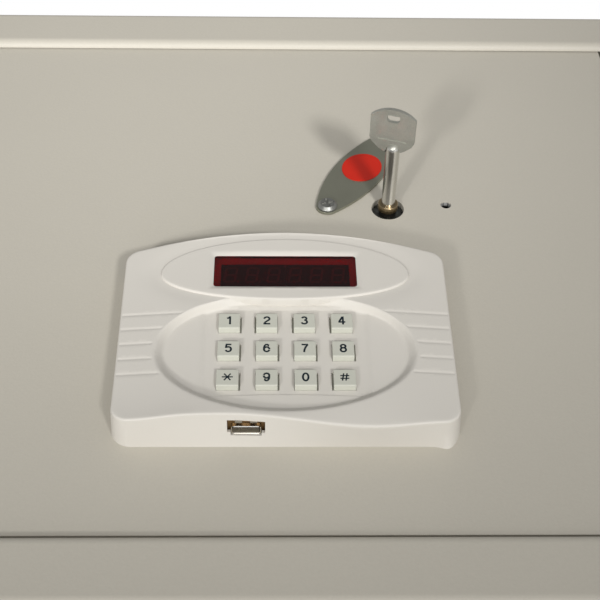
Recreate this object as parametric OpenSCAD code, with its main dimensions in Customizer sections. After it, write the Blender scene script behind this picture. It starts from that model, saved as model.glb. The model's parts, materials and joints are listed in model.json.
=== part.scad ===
// Top-opening laptop safe: a folded steel body with a hinged lid that lies inside its rim.
// The lid carries a moulded keypad, a key lock under a swinging cover plate and the bolt work.
// Lengths are in millimetres. X runs along the width, the front is at -Y, and Z is up.
// The origin is the middle of the body's underside.

/* [Body] */
// Width of the body
body_w = 450; // [430:5:480]
// Depth of the body
body_d = 412; // [396:2:440]
// Height of the body, from underside to rim
body_h = 150; // [140:1:200]
// Thickness of the body's sheet steel
wall_t = 3; // [2:0.5:3.5]
// Width of the rim on each side of the lid
rail_w = 33.3; // [30:0.1:38]
// Outside radius of the bend at the rim's inner edge
rim_bend = 5; // [4:0.5:6]
// Outside radius of the bends along the body's top edges
edge_bend = 5; // [4:0.5:8]
// Outside radius of the body's upright corners
corner_r = 5; // [4:0.5:8]
// Height of the lip that hangs from the rim's inner edge
lip_h = 42; // [40:1:46]
// Thickness of the base plate
base_t = 3; // [2:0.5:5]
// Thickness of the floor lining
lining_t = 3; // [2:0.5:5]
// Radius of the anchor holes in the base
anchor_r = 6; // [4:0.5:8]
// Distance between the anchor holes along X
anchor_dx = 300; // [200:5:340]
// Distance between the anchor holes along Y
anchor_dy = 250; // [180:5:300]

/* [Lid] */
// Thickness of the lid plate
lid_t = 5; // [4:0.5:6]
// Depth of the lid's face below the rim's top
lid_drop = 4.5; // [4:0.1:5]
// Gap between the lid's edge and the lip
lid_gap = 1.5; // [1:0.1:2.5]
// Length of the lid's rear margin that lies under the rim
lid_tuck = 5; // [3:0.5:8]
// Gap between that margin and the rear lip above it
tuck_gap = 0.7; // [0.5:0.1:1]
// Width of the ledges that the lid rests on
ledge_w = 10; // [8:1:14]
// Thickness of the ledges
ledge_t = 3; // [2:0.5:4]

/* [Hinge] */
// Depth of the hinge axis below the lid's face
hinge_drop = 14; // [13.5:0.1:14.5]
// Distance from the rear lip forward to the hinge axis
hinge_inset = 16; // [15.6:0.1:18]
// Radius of the hinge pins
hinge_pin_r = 4; // [3:0.5:4.5]
// Radius of the hinge eyes
hinge_eye_r = 8; // [7:0.5:8.2]
// Thickness of a hinge lug on the lid
lug_t = 12.5; // [10:0.5:14]
// Thickness of a hinge ear on the body
ear_t = 8; // [6:0.5:9]

/* [Keypad housing] */
// Distance from the front lip back to the foot of the middle key row
pad_setback = 84.8; // [80:0.1:95]
// Width of the housing at its top edge
pad_w = 150; // [146:1:156]
// Distance from the key row's foot forward to the housing's front edge
pad_front = 37.6; // [35:0.1:40]
// Distance from the key row's foot back to the middle of the housing's rear edge
pad_rear = 80.4; // [79:0.1:85]
// How far the rear edge falls away towards its corners
pad_sag = 13.6; // [10:0.1:15]
// How much further out the housing's sides are at the rear than at the front
pad_taper = 1.6; // [0:0.1:2.5]
// Height of the housing at its middle
pad_h = 17.3; // [16.8:0.1:19]
// Fall of the crowned top from the middle to the sides
pad_crown = 2.3; // [1:0.1:3]
// Spread of the walls towards the foot
pad_draft = 1; // [0.5:0.1:3]
// Wall thickness of the housing
pad_wall = 2.2; // [1.8:0.1:2.6]
// Radius of the housing's upright corners
pad_corner = 8; // [6:0.5:10]
// Radius of the rounded top edge
pad_edge = 1; // [0.6:0.1:1.6]
// Rise and fall of the wave along the front edge
wave_rise = 1.2; // [0.5:0.1:2.5]
// Forward and backward swing of that wave
wave_push = 2.6; // [0.5:0.1:3]
// Rise of the left front corner
wave_left = 1.4; // [0:0.1:2]
// Length of the wave
wave_len = 140; // [125:5:160]

/* [Key bowl] */
// Height of the bowl's floor above the lid
bowl_floor = 12.4; // [12:0.1:13]
// Half the width of the bowl's floor
bowl_rx = 54.5; // [50:0.5:58]
// Half the depth of the bowl's floor
bowl_ry = 31.1; // [29:0.1:32]
// Run of the bowl's sloping wall for each millimetre of height
bowl_slope = 0.85; // [0.5:0.05:1]
// Thickness of the bowl's floor
bowl_t = 2; // [1.6:0.1:2.4]
// Depth of the panel around the keys below the bowl's floor
panel_drop = 0.6; // [0.2:0.1:0.8]

/* [Display island] */
// Half the width of the raised oval around the display
island_rx = 58.6; // [54:0.1:62]
// Half the depth of the raised oval
island_ry = 19.9; // [18:0.1:21]
// Distance from the key row's foot back to the oval's middle
island_y = 54.7; // [54:0.1:57]
// Drop of the oval's front edge below the housing's full height
island_drop = 0.3; // [0:0.1:0.5]
// Width of the display window
window_w = 67.1; // [64:0.1:72]
// Depth of the display window
window_d = 20; // [18:0.1:22]
// Thickness of the red window
window_t = 1.5; // [1:0.1:2]
// Depth of the window's face below the oval's top
window_drop = 1.3; // [1:0.1:2]
// Width of the sloping frame around the window
window_frame = 2.3; // [1:0.1:3]
// Width of a display module
module_w = 30.1; // [29:0.1:31]
// Depth of a display module
module_d = 14; // [12:0.5:16]

/* [Keys] */
// Distance from key to key
key_pitch = 17; // [16:0.1:18]
// Width of a key cap
cap_w = 9.7; // [9:0.1:11]
// Depth of a key cap
cap_d = 10; // [9:0.1:11]
// Height of a key cap above its panel
cap_h = 2.9; // [2:0.1:3.5]
// Run of a cap's sloping front
cap_slope = 0.4; // [0.2:0.1:2]
// Gap around a key cap
cap_gap = 0.3; // [0.2:0.05:0.5]
// Travel of a key
key_travel = 1; // [0.6:0.1:1.1]

/* [USB socket] */
// Distance of the socket to the left of the keypad's middle
usb_x = 17; // [14:0.5:20]
// Height of the socket's underside above the lid
usb_z = 6.5; // [6:0.1:6.5]
// Width of the socket's shell
usb_w = 12.5; // [12:0.1:13]
// Height of the socket's shell
usb_h = 5.1; // [4.8:0.1:5.2]
// Depth of the socket's shell
usb_d = 13; // [10:0.5:13.5]
// Width of the cut-out in the housing
usb_cut_w = 16.1; // [15:0.1:18]
// Height of the cut-out in the housing
usb_cut_h = 8.4; // [6.5:0.1:9]
// Height of the narrow lower part of that cut-out
usb_step = 1.7; // [1:0.1:2.5]

/* [Lock and key] */
// Distance of the lock to the right of the lid's middle
lock_x = 53.5; // [48:0.1:56]
// Distance from the foot of the middle key row back to the lock
lock_back = 116.5; // [112:0.5:122]
// Radius of the lock's barrel
lock_r = 8; // [7.5:0.1:8.5]
// Gap between the barrel and the hole in the lid
lock_gap = 0.4; // [0.2:0.1:0.6]
// Depth of the lock's face below the lid's face
lock_sink = 2.5; // [1.5:0.1:3]
// Length of the barrel below the lid
lock_len = 17; // [14:0.5:18]
// Radius of the turning plug
plug_r = 6.5; // [6:0.1:6.8]
// Radius of the key's hollow barrel
barrel_r = 4.4; // [4.2:0.1:4.7]
// Radius of the hollow in the key's barrel
barrel_hole_r = 2.9; // [2.6:0.1:3]
// Height of that barrel above the lid's face
barrel_top = 4.2; // [3:0.1:5]
// Radius of the collar round the barrel, over the lid
collar_r = 5.1; // [4.8:0.1:5.4]
// Depth of the keyway below the lid's face
keyway_depth = 8; // [7:0.5:10]
// Radius of the key's shank
shank_r = 3.5; // [3.2:0.1:3.8]
// Height of the shank's top above the lid's face
shank_top = 41; // [38:0.5:45]
// Height of the bow's lower edge above the lid's face
bow_low = 37.2; // [34:0.1:39]
// Height of the bow's arched top above the lid's face
bow_top = 62.8; // [60:0.1:68]
// Width of the bow
bow_w = 22.5; // [20:0.5:26]
// Thickness of the bow
bow_t = 2; // [1.6:0.1:2.4]
// Offset of the bow from the shank's axis
bow_shift = -0.9; // [-1.2:0.1:1.2]
// Turn of the key about the lock's axis
key_turn = -17; // [-30:1:30]

/* [Cover plate] */
// Distance from the lock left to the plate's pivot
pivot_dx = 31.2; // [30:0.1:33]
// Distance from the plate's pivot to the middle of its far end
plate_reach = 66.7; // [65:0.1:72]
// Radius of the plate's round ends
plate_end_r = 5.9; // [5.5:0.1:8]
// Distance from the plate's pivot to its screw hole
plate_hole_x = 61.7; // [60:0.1:64]
// Radius of that hole
plate_hole_r = 2.1; // [1.6:0.1:2.4]
// Width of the plate at its middle
plate_w = 26.2; // [24:0.1:31]
// Thickness of the plate
plate_t = 1.5; // [1:0.1:2]
// Angle of the plate from the line through the lock
plate_turn = 58; // [50:1:70]
// Radius of the rivet's head
rivet_head_r = 5.1; // [4.5:0.1:5.6]
// Radius of the rivet's shoulder
rivet_r = 3.2; // [2.8:0.1:3.6]
// Distance from the pivot right to the threaded bush
bush_dx = 61.7; // [60:0.1:64]
// Distance of the bush behind the pivot
bush_dy = 2.8; // [0:0.1:4]
// Radius of the threaded bush
bush_r = 2.7; // [2.2:0.1:3.2]

/* [Bolt work] */
// Radius of the live bolts
bolt_r = 9; // [8:0.5:9.5]
// Distance from the middle to each live bolt
bolt_x = 95; // [85:1:100]
// Depth of the bolts' axis below the lid
bolt_depth = 13; // [12.5:0.1:13.5]
// Length of a live bolt
bolt_len = 46; // [40:1:50]
// Throw of the bolts
throw = 17; // [12:0.5:17.5]
// Depth of the carriage's face below the lid
carriage_depth = 22; // [21.5:0.1:22.5]
// Thickness of the carriage, brackets and strike plate
steel_t = 3; // [2.5:0.1:3.5]
// Radius of the drive pins
drive_pin_r = 3; // [2.5:0.1:3.2]
// Side clearance of a drive pin in its cross slot
drive_gap = 0.5; // [0.45:0.05:0.8]
// Radius of the studs that guide the carriage
stud_r = 3; // [2.5:0.1:3.2]
// Distance from the lock forward to the motor
motor_dy = 90; // [85:1:92]

/* [Mechanism cover] */
// Width of the cover under the bolt work
cover_w = 240; // [236:2:260]
// Height of that cover
cover_h = 38; // [37:0.5:44]
// Sheet thickness of that cover
cover_t = 1.2; // [1:0.1:1.6]
// Width of the cover's flanges
cover_flange = 12; // [10:0.5:15]
// Radius of a battery cell
cell_r = 7.1; // [7:0.05:7.25]
// Length of a battery cell
cell_len = 49; // [48:0.5:50.5]

/* [Fits] */
// Radial clearance of turning and sliding fits
run_fit = 0.05; // [0.02:0.01:0.08]
// Radial clearance of screws in their holes
screw_fit = 0.1; // [0.05:0.01:0.2]
// Gap that keeps moving faces apart
slide_gap = 0.3; // [0.2:0.05:0.4]

/* [Hidden] */

// Fineness of round forms, and of the ovals and outlines that are made of points
$fn = 48;
oval_n = 64;
// A small overrun that lets cutters pass through faces
over = 1;

// Lid and opening
open_w = body_w - 2 * rail_w;
open_d = body_d - 2 * rail_w;
front_y = -open_d / 2;
rear_y = open_d / 2;
lid_top = body_h - lid_drop;
lid_low = lid_top - lid_t;
lip_low = body_h - lip_h;
lid_w = open_w - 2 * lid_gap;
lid_front = front_y + lid_gap;
lid_rear = rear_y + lid_tuck;
ledge_leg = 15;
ledge_front = front_y + 22;
ledge_rear = rear_y - 72;

// Hinge
hinge_y = rear_y - hinge_inset;
hinge_z = lid_top - hinge_drop;
lug_x = lid_w / 2 - 27;
ear_x = lug_x + slide_gap;
ear_foot = 20;
pin_head_r = 6;
pin_head_t = 3;
pin_tail = 2;

// Keypad
pad_y = front_y + pad_setback;
pad_rx = pad_w / 2;
front_steps = 22;
rear_steps = 14;
corner_steps = 5;
rear_corner_y = pad_rear - pad_sag - 5.5;
rear_corner_turn = 75;
wave_mid = 4;
wave_reach = 12;
pad_mid_y = 20;
bowl_y = 3.4;
bowl_power = 2.4;
cavity_top = bowl_floor - bowl_t;
panel_z = bowl_floor - panel_drop;
panel_rx = 37;
panel_front = -20.1;
panel_rear = 32.5;
panel_arch_r = 500;
island_fall = 0.01;
window_y = island_y - 1.3;
island_z = pad_h - island_drop - island_fall * (window_y - island_y + island_ry);
window_z = island_z - window_drop;
window_rim = 1;
window_lip = 0.3;
module_y = window_y - 0.7;
plate_z = 2;
post_h = 0.5;
board_t = 1.6;
board_z = plate_z + post_h;
board_top = board_z + board_t;
board_w = 120;
board_front = -33.5;
board_rear = 66;
module_top = window_z - window_t - 0.9;
mat_t = 1;
mat_margin = 4;
usb_front = -pad_front + 0.9;
flange_t = 1;
flange_w = 1;
flange_top = cavity_top - 0.1;
dome_top = flange_top - flange_t - key_travel - 0.1;
dome_r = 3;
groove_pitch = 9.05;
groove_first = 25.5;
groove_depth = 0.7;
groove_w = 1.5;
groove_count = 5;
boss_r = 3.5;
boss_x = pad_rx - 9;
boss_front = -26;
boss_rear = 58;
boss_screw_r = 1.5;
boss_screw_len = 6;
screw_head_r = 3;
screw_head_t = 2;
ribbon_w = 12;
ribbon_t = 1.2;
ribbon_x = -40;
ribbon_y = 20;
ribbon_slot = 3;

// Lock and key
lock_y = pad_y + lock_back;
lock_face = lid_top - lock_sink;
lock_low = lid_low - lock_len;
lock_flange_t = 3;
lock_flange_r = 13;
lock_stud_x = 19;
lock_stud_r = 2;
lock_ear_r = 5;
keyway_low = lid_top - keyway_depth;
cam_t = 2.3;
carriage_top = lid_low - carriage_depth;
cam_z = carriage_top + slide_gap + 0.2;
square_w = 7;
crank_r = throw / sqrt(2);
pin_turn = 45;

// Cover plate
pivot_x = lock_x - pivot_dx;
pivot_y = lock_y + 0.4;
plate_low = lid_top + slide_gap;
plate_high = plate_low + plate_t;

// Bolt work
bolt_z = lid_low - bolt_depth;
bolt_tip = lid_front + 0.7;
bolt_end = bolt_tip + bolt_len;
bolt_spigot_r = 4;
nut_t = 6;
bracket_front = lid_front + 3.2;
bracket_low = bolt_z - bolt_r - 4;
carriage_w = 2 * bolt_x + 30;
beam_rear = bolt_end + 40;
motor_y = lock_y - motor_dy;
arm_rx = 40;
arm_rear = lock_y + 50;
front_post_x = 40;
front_post_y = bolt_end + 11;
rear_post_dx = 28;
rear_post_y = lock_y + 19;
post_r = 5;
washer_r = 7;
washer_t = 1.5;
guide_nut_t = 4;
guide_nut_r = 5.8;
gear_w = 26;
gear_d = 32;
gear_t = 12;
gear_axle = 9;
gear_z = lid_low - 2.5 - gear_t;
motor_r = 7.5;
motor_len = 24;
crank_shaft_r = 3;

// Cover, board and batteries
cover_front = bolt_tip + 22;
cover_rear = arm_rear + 8;
cover_low = lid_low - cover_h;
cover_floor = cover_low + cover_t;
tray_wall = 1.6;
cell_gap = 0.4;
cell_pitch = 2 * cell_r + cell_gap;
cell_count = 4;
tray_w = cell_count * cell_pitch + cell_gap + 2 * tray_wall;
tray_d = cell_len + 4 + 2 * tray_wall;
tray_h = 2 * cell_r + 2.5;
tray_x = -cover_w / 2 + 16 + tray_w / 2;
tray_y = lock_y - 18;
door_rim = 3;
pcb_w = 92;
pcb_d = 40;
pcb_x = -62;
pcb_y = pad_y + ribbon_y + 14;
pcb_z = lid_low - 11;
standoff_r = 3;

function oval(rx, ry, n = oval_n) = [for (i = [0 : n - 1]) [rx * cos(360 * i / n), ry * sin(360 * i / n)]];

// The wave along the housing's front edge, from -1 to 1, and nothing at the corners
function wave(x) = -sin(360 * (x - wave_mid) / wave_len)
    * max(0, 1 - pow(x / (pad_rx - pad_corner), 4));

// Height of the housing's top at a place
function soft_step(v) = let (u = min(max(v, 0), 1)) u * u * (3 - 2 * u);
function pad_top(x, y) = pad_h - pad_crown * pow(x / pad_rx, 2) - 0.009 * (y + pad_front)
    + (wave_rise * wave(x) + wave_left * soft_step((-x - 28) / 22)) * exp(-(y + pad_front) / wave_reach);

function corner_arc(cx, cy, r, from, to) =
    [for (i = [0 : corner_steps]) let (a = from + (to - from) * i / corner_steps)
        [cx + r * cos(a), cy + r * sin(a)]];

// Outline of the housing, grown by g, with a share of the front wave
function pad_outline(g, share) = let (
        cx = pad_rx - pad_corner,
        cy = pad_corner - pad_front,
        r = max(pad_corner + g, 0.5),
        lean = rear_corner_turn
    ) tapered(concat(
        [for (i = [1 : front_steps - 1]) let (x = cx * (2 * i / front_steps - 1))
            [x, -pad_front - g + share * wave_push * wave(x)]],
        corner_arc(cx, cy, r, -90, 0),
        corner_arc(cx, rear_corner_y, r, 0, lean),
        [for (i = [0 : rear_steps]) let (x = (cx - 4) * (1 - 2 * i / rear_steps))
            [x, pad_rear - pad_sag * pow(x / pad_rx, 2) + g]],
        corner_arc(-cx, rear_corner_y, r, 180 - lean, 180),
        corner_arc(-cx, cy, r, 180, 270)
    ));
function tapered(outline) = [for (p = outline)
    [p[0] * (1 + pad_taper / pad_rx * (p[1] - pad_mid_y) / (pad_rear + pad_front)), p[1]]];

function shrink(outline, s) = [for (p = outline) [p[0] * s, pad_mid_y + (p[1] - pad_mid_y) * s]];
function on_top(outline, drop) = [for (p = outline) [p[0], p[1], pad_top(p[0], p[1]) - drop]];
function at_height(outline, z) = [for (p = outline) [p[0], p[1], z]];

// A closed skin over rings of points, lowest first, closed by fans to a point below and one on top
module loft(rings, seat, tip) {
    n = len(rings[0]);
    m = len(rings);
    points = concat([for (ring = rings) for (p = ring) p], [tip, seat]);
    sides = [for (k = [0 : m - 2]) for (i = [0 : n - 1]) for (upper = [true, false])
        let (a = k * n + i, b = k * n + (i + 1) % n)
        upper ? [a, a + n, b + n] : [a, b + n, b]];
    bottom = [for (i = [0 : n - 1]) [m * n + 1, i, (i + 1) % n]];
    top = [for (i = [0 : n - 1]) [m * n, (m - 1) * n + (i + 1) % n, (m - 1) * n + i]];
    polyhedron(points, concat(sides, bottom, top), convexity = 6);
}

// A block with its middle at the origin and its underside at z = 0
module slab(w, d, h) {
    translate([-w / 2, -d / 2, 0]) cube([w, d, h]);
}

module along_x(length) {
    rotate([90, 0, 90]) linear_extrude(length, center = true) children();
}

module along_y(length) {
    rotate([90, 0, 0]) linear_extrude(length, center = true) children();
}

module rounded(w, d, r) {
    square([w - 2 * r, d], center = true);
    square([w, d - 2 * r], center = true);
    for (x = [-1, 1], y = [-1, 1]) translate([x * (w / 2 - r), y * (d / 2 - r)]) circle(r);
}

// An upright rectangle that stands on the X axis, with rounded top corners
module arch(w, h, r) {
    translate([-w / 2, 0]) square([w, h - r]);
    translate([-w / 2 + r, 0]) square([w - 2 * r, h]);
    for (x = [-1, 1]) translate([x * (w / 2 - r), h - r]) circle(r);
}

// A box of folded sheet: bent top edges and rounded upright corners
module bent_box(w, d, h, bend, corner) {
    intersection() {
        along_x(w) arch(d, h, bend);
        along_y(d) arch(w, h, bend);
        linear_extrude(h) rounded(w, d, corner);
    }
}

// An upright rectangle whose sides flare outwards by a quarter circle at the top
module flared(w, low, top, r) {
    difference() {
        translate([-w / 2 - r, low]) square([w + 2 * r, top - low]);
        for (x = [-1, 1]) translate([x * (w / 2 + r), top - r]) circle(r);
        for (x = [-1, 1]) translate([x * (w / 2 + r) - r, low - over])
            square([2 * r, top - r - low + over]);
    }
}

module flared_block(w, d, low, top, r) {
    intersection() {
        along_x(w + 2 * r) flared(d, low, top, r);
        along_y(d + 2 * r) flared(w, low, top, r);
    }
}

module pipe(outer, inner, h) {
    difference() {
        cylinder(r = outer, h = h);
        translate([0, 0, -over]) cylinder(r = inner, h = h + 2 * over);
    }
}

module hex(r, h) {
    cylinder(r = r, h = h, $fn = 6);
}

module on_bolts() {
    for (x = [-bolt_x, bolt_x]) translate([x, 0, bolt_z]) rotate([-90, 0, 0]) children();
}

module on_anchors() {
    for (x = [-1, 1], y = [-1, 1]) translate([x * anchor_dx / 2, y * anchor_dy / 2, 0]) children();
}

module at_pad() {
    translate([0, pad_y, lid_top]) children();
}

module at_bosses() {
    for (x = [-boss_x, boss_x], y = [boss_front, boss_rear]) translate([x, y, 0]) children();
}

module at_lock() {
    translate([lock_x, lock_y, 0]) children();
}

module at_posts() {
    for (x = [-front_post_x, front_post_x]) translate([x, front_post_y, 0]) children();
    for (x = [-rear_post_dx, rear_post_dx]) translate([lock_x + x, rear_post_y, 0]) children();
}

module at_cover_screws() {
    for (x = [-1, 1], y = [cover_front + 20, (cover_front + cover_rear) / 2, cover_rear - 20])
        translate([x * (cover_w + cover_flange) / 2, y, 0]) children();
    for (x = [-1, 1]) translate([x * cover_w / 4, cover_rear + cover_flange / 2, 0]) children();
}

// Body

module body_shell() {
    inner_bend = max(rim_bend - wall_t, 0.5);
    color([0.74, 0.72, 0.67]) difference() {
        union() {
            difference() {
                bent_box(body_w, body_d, body_h, edge_bend, corner_r);
                translate([0, 0, -over]) bent_box(body_w - 2 * wall_t, body_d - 2 * wall_t,
                    body_h - wall_t + over, max(edge_bend - wall_t, 0.5), max(corner_r - wall_t, 0.5));
            }
            flared_block(open_w + 2 * wall_t, open_d + 2 * wall_t, lip_low,
                body_h - wall_t / 2, inner_bend);
        }
        flared_block(open_w, open_d, 0, body_h, rim_bend);
        translate([0, 0, body_h]) slab(open_w + 2 * rim_bend, open_d + 2 * rim_bend, over);
        rear_lip_cut();
        on_bolts() translate([0, 0, front_y - 2 * wall_t]) cylinder(r = bolt_r + 1, h = 3 * wall_t);
    }
}

// Below the lid's face the rear lip is cut away, so that the lid's margin can swing there
module rear_lip_cut() {
    translate([-open_w / 2, rear_y - over, lip_low - over])
        cube([open_w, wall_t + rim_bend + over, lid_top + tuck_gap - lip_low + over]);
}

module base_plate() {
    color([0.66, 0.64, 0.6]) difference() {
        linear_extrude(base_t) rounded(body_w - 2 * wall_t, body_d - 2 * wall_t,
            max(corner_r - wall_t, 0.5) + 0.5);
        on_anchors() translate([0, 0, -over]) cylinder(r = anchor_r, h = base_t + 2 * over);
    }
}

module floor_lining() {
    color([0.2, 0.2, 0.22]) translate([0, 0, base_t]) difference() {
        slab(body_w - 2 * wall_t - 4, body_d - 2 * wall_t - 4, lining_t);
        on_anchors() translate([0, 0, -over]) cylinder(r = anchor_r + 5, h = lining_t + 2 * over);
    }
}

module strike_plate() {
    color([0.62, 0.62, 0.6]) difference() {
        translate([-bolt_x - 30, front_y - wall_t - steel_t, lip_low + 2])
            cube([2 * bolt_x + 60, steel_t, lid_top - lip_low - 6]);
        on_bolts() translate([0, 0, front_y - 3 * wall_t - steel_t])
            cylinder(r = bolt_r + 1, h = 4 * wall_t + steel_t);
    }
}

module lid_ledges() {
    color([0.68, 0.66, 0.62]) for (side = [-1, 1])
        translate([side * open_w / 2, (ledge_front + ledge_rear) / 2, lid_low])
            along_y(ledge_rear - ledge_front) scale([side, 1]) polygon([[0, 0], [-ledge_w, 0],
                [-ledge_w, -ledge_t], [-ledge_t, -ledge_t], [-ledge_t, -ledge_leg], [0, -ledge_leg]]);
}

module hinge_brackets() {
    foot_low = lip_low + 1;
    foot_high = hinge_z - hinge_eye_r;
    color([0.6, 0.6, 0.6]) for (side = [-1, 1]) mirror([side < 0 ? 1 : 0, 0, 0]) difference() {
        union() {
            translate([ear_x + ear_t / 2, hinge_y, hinge_z]) along_x(ear_t) {
                circle(hinge_eye_r);
                translate([-hinge_eye_r, foot_low - hinge_z])
                    square([hinge_eye_r + 4, hinge_z - foot_low]);
                translate([-ear_foot, foot_low - hinge_z]) square([ear_foot, foot_high - foot_low]);
            }
            translate([ear_x, hinge_y - ear_foot, foot_low])
                cube([open_w / 2 - ear_x, ear_foot + 4, foot_high - foot_low]);
        }
        translate([ear_x - over, hinge_y, hinge_z]) rotate([0, 90, 0])
            cylinder(r = hinge_pin_r + run_fit, h = ear_t + 2 * over);
    }
}

module hinge_pins() {
    pin_low = lug_x - lug_t - pin_tail;
    color([0.78, 0.78, 0.78]) for (side = [-1, 1]) mirror([side < 0 ? 1 : 0, 0, 0])
        translate([pin_low, hinge_y, hinge_z]) rotate([0, 90, 0]) {
            translate([0, 0, 1]) cylinder(r = hinge_pin_r, h = ear_x + ear_t - pin_low - 1);
            cylinder(r1 = hinge_pin_r - 1, r2 = hinge_pin_r, h = 1);
            translate([0, 0, ear_x + ear_t - pin_low]) cylinder(r = pin_head_r, h = pin_head_t);
        }
}

// Lid

module lid_plate() {
    mid_y = (lid_front + lid_rear) / 2;
    color([0.74, 0.72, 0.67]) difference() {
        translate([0, mid_y, lid_low]) linear_extrude(lid_t) rounded(lid_w, lid_rear - lid_front, 2);
        translate([0, 0, lid_low - over]) {
            at_lock() cylinder(r = lock_r + lock_gap, h = lid_t + 2 * over);
            translate([pivot_x, pivot_y, 0]) cylinder(r = rivet_r + run_fit, h = lid_t + 2 * over);
            translate([pivot_x + bush_dx, pivot_y + bush_dy, 0])
                cylinder(r = bush_r + run_fit, h = lid_t + 2 * over);
            translate([0, pad_y, 0]) at_bosses()
                cylinder(r = boss_screw_r + 2 * screw_fit, h = lid_t + 2 * over);
            translate([ribbon_x, pad_y + ribbon_y, 0])
                slab(ribbon_w + ribbon_slot, ribbon_t + 2 * ribbon_slot, lid_t + 2 * over);
            at_cover_screws() cylinder(r = 2 + screw_fit, h = over + lid_t - 1.5);
        }
    }
}

module hinge_lugs() {
    color([0.6, 0.6, 0.6]) for (side = [-1, 1])
        translate([side * (lug_x - lug_t / 2), hinge_y, hinge_z]) along_x(lug_t) difference() {
            union() {
                circle(hinge_eye_r);
                translate([-hinge_eye_r - 4, 0]) square([2 * hinge_eye_r + 4, lid_low - hinge_z]);
            }
            circle(hinge_pin_r + run_fit);
        }
}

// Keypad

module keypad_backplate() {
    color([0.3, 0.3, 0.32]) at_pad() difference() {
        union() {
            linear_extrude(plate_z) polygon(pad_outline(-pad_wall - slide_gap, 0));
            for (x = [-1, 1], y = [board_front + 8, board_rear - 6])
                translate([x * (board_w / 2 - 5), y, 0]) cylinder(r = 2.5, h = board_z);
        }
        at_bosses() translate([0, 0, -over])
            cylinder(r = boss_screw_r + 2 * screw_fit, h = board_z + 2 * over);
        translate([ribbon_x, ribbon_y, -over])
            slab(ribbon_w + ribbon_slot, ribbon_t + 2 * ribbon_slot, board_z + 2 * over);
    }
}

// The moulded shell: rings of points follow its outline up the wall, round the edge and over the top
module pad_blank() {
    edge = [for (a = [0, 30, 60, 90])
        on_top(pad_outline(-pad_edge * (1 - cos(a)), 1), pad_edge * (1 - sin(a)))];
    inner = [for (s = [0.93, 0.86, 0.74, 0.55, 0.3]) on_top(shrink(pad_outline(-pad_edge, 1), s), 0)];
    loft(concat([at_height(pad_outline(pad_draft, 0), 0)], edge, inner),
        [0, pad_mid_y, 0], [0, pad_mid_y, pad_top(0, pad_mid_y)]);
}

// The bowl's foot is an oval with a squarer rear half, and its rim is a plain oval
function squarer(v) = sign(v) * pow(abs(v), 2 / bowl_power);
function bowl_foot() = [for (p = oval(1, 1)) p[1] > 0
    ? [bowl_rx * squarer(p[0]), (bowl_ry + 0.5) * squarer(p[1])] : [bowl_rx * p[0], bowl_ry * p[1]]];

module key_bowl() {
    skin = pad_h - bowl_floor;
    rise = skin + wave_rise + 2;
    foot = bowl_foot();
    rim = oval(bowl_rx + bowl_slope * skin, bowl_ry + bowl_slope * skin);
    high = [for (i = [0 : len(foot) - 1]) foot[i] + (rim[i] - foot[i]) * rise / skin];
    translate([0, bowl_y, 0]) loft([at_height(foot, bowl_floor), at_height(high, bowl_floor + rise)],
        [0, 0, bowl_floor], [0, 0, bowl_floor + rise]);
}

// Height of the oval's flat top, which falls a little towards the rear
function island_top(p) = pad_h - island_drop - island_fall * (p[1] - island_y + island_ry);
function island_ring(s, drop) = [for (p = oval(island_rx * s, island_ry * s))
    let (q = [p[0], p[1] + island_y]) [q[0], q[1], island_top(q) - drop]];
function island_foot(s) = [for (p = oval(island_rx * s, island_ry * s))
    [p[0], p[1] + island_y, cavity_top + 1]];

module display_island() {
    loft([island_foot(1.015), island_ring(1, 0.9), island_ring(0.99, 0.35), island_ring(0.97, 0),
        island_ring(0.6, 0)], [0, island_y, cavity_top + 1], [0, island_y, island_top([0, island_y])]);
}

module grooves() {
    fall = 2 * pad_crown * 0.87 / pad_rx;
    tilt = atan(fall);
    for (side = [0, 1], i = [0 : groove_count - 1]) mirror([side, 0, 0]) {
        x = 66;
        y = groove_first - i * groove_pitch;
        translate([x, y, pad_top(x, y)]) rotate([0, tilt, 0]) along_x(48)
            polygon([[-groove_w / 2, 0.6], [-groove_w / 2, 0], [-0.2, -groove_depth],
                [groove_w / 2, 0], [groove_w / 2, 0.6]]);
    }
}

module key_panel() {
    reach = 4;
    translate([0, 0, panel_z]) linear_extrude(pad_h) intersection() {
        translate([0, bowl_y]) polygon(1.02 * bowl_foot());
        difference() {
            translate([-panel_rx, panel_front - reach]) square([2 * panel_rx, panel_rear - panel_front + reach]);
            translate([0, panel_front - panel_arch_r]) circle(panel_arch_r, $fn = 180);
        }
    }
}

module at_key(column, row) {
    translate([(column - 1.5) * key_pitch, (1 - row) * key_pitch, 0]) children();
}

module key_holes() {
    for (column = [0 : 3], row = [0 : 2]) at_key(column, row)
        translate([-cap_w / 2 - cap_gap, -cap_gap, cavity_top - over])
            cube([cap_w + 2 * cap_gap, cap_d + 2 * cap_gap, bowl_t + 2 * over]);
}

function frame_ring(grow, z) = [for (p = [[1, -1], [1, 1], [-1, 1], [-1, -1]])
    [p[0] * (window_w / 2 + grow), window_y + p[1] * (window_d / 2 + grow), z]];

module window_cuts() {
    low = window_z + window_lip;
    high = island_z + over;
    grow = window_frame * (high - low) / (window_drop - window_lip);
    translate([0, window_y, window_z - over]) slab(window_w, window_d, window_lip + over + 0.01);
    loft([frame_ring(0, low), frame_ring(grow, high)], [0, window_y, low], [0, window_y, high]);
    translate([0, window_y, cavity_top - over]) slab(window_w + 2 * window_rim + 0.4,
        window_d + 2 * window_rim + 0.4, window_z - cavity_top + over);
}

module usb_cuts() {
    low = usb_z - 0.2;
    front = -pad_front - pad_draft - over;
    translate([-usb_x - usb_cut_w / 2, front, low + usb_step])
        cube([usb_cut_w, pad_draft + pad_wall + 2 + over, usb_cut_h - usb_step]);
    translate([-usb_x - usb_w / 2 - slide_gap, front, low])
        cube([usb_w + 2 * slide_gap, usb_front + usb_d + 2 - front, usb_h + 0.5]);
}

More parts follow.
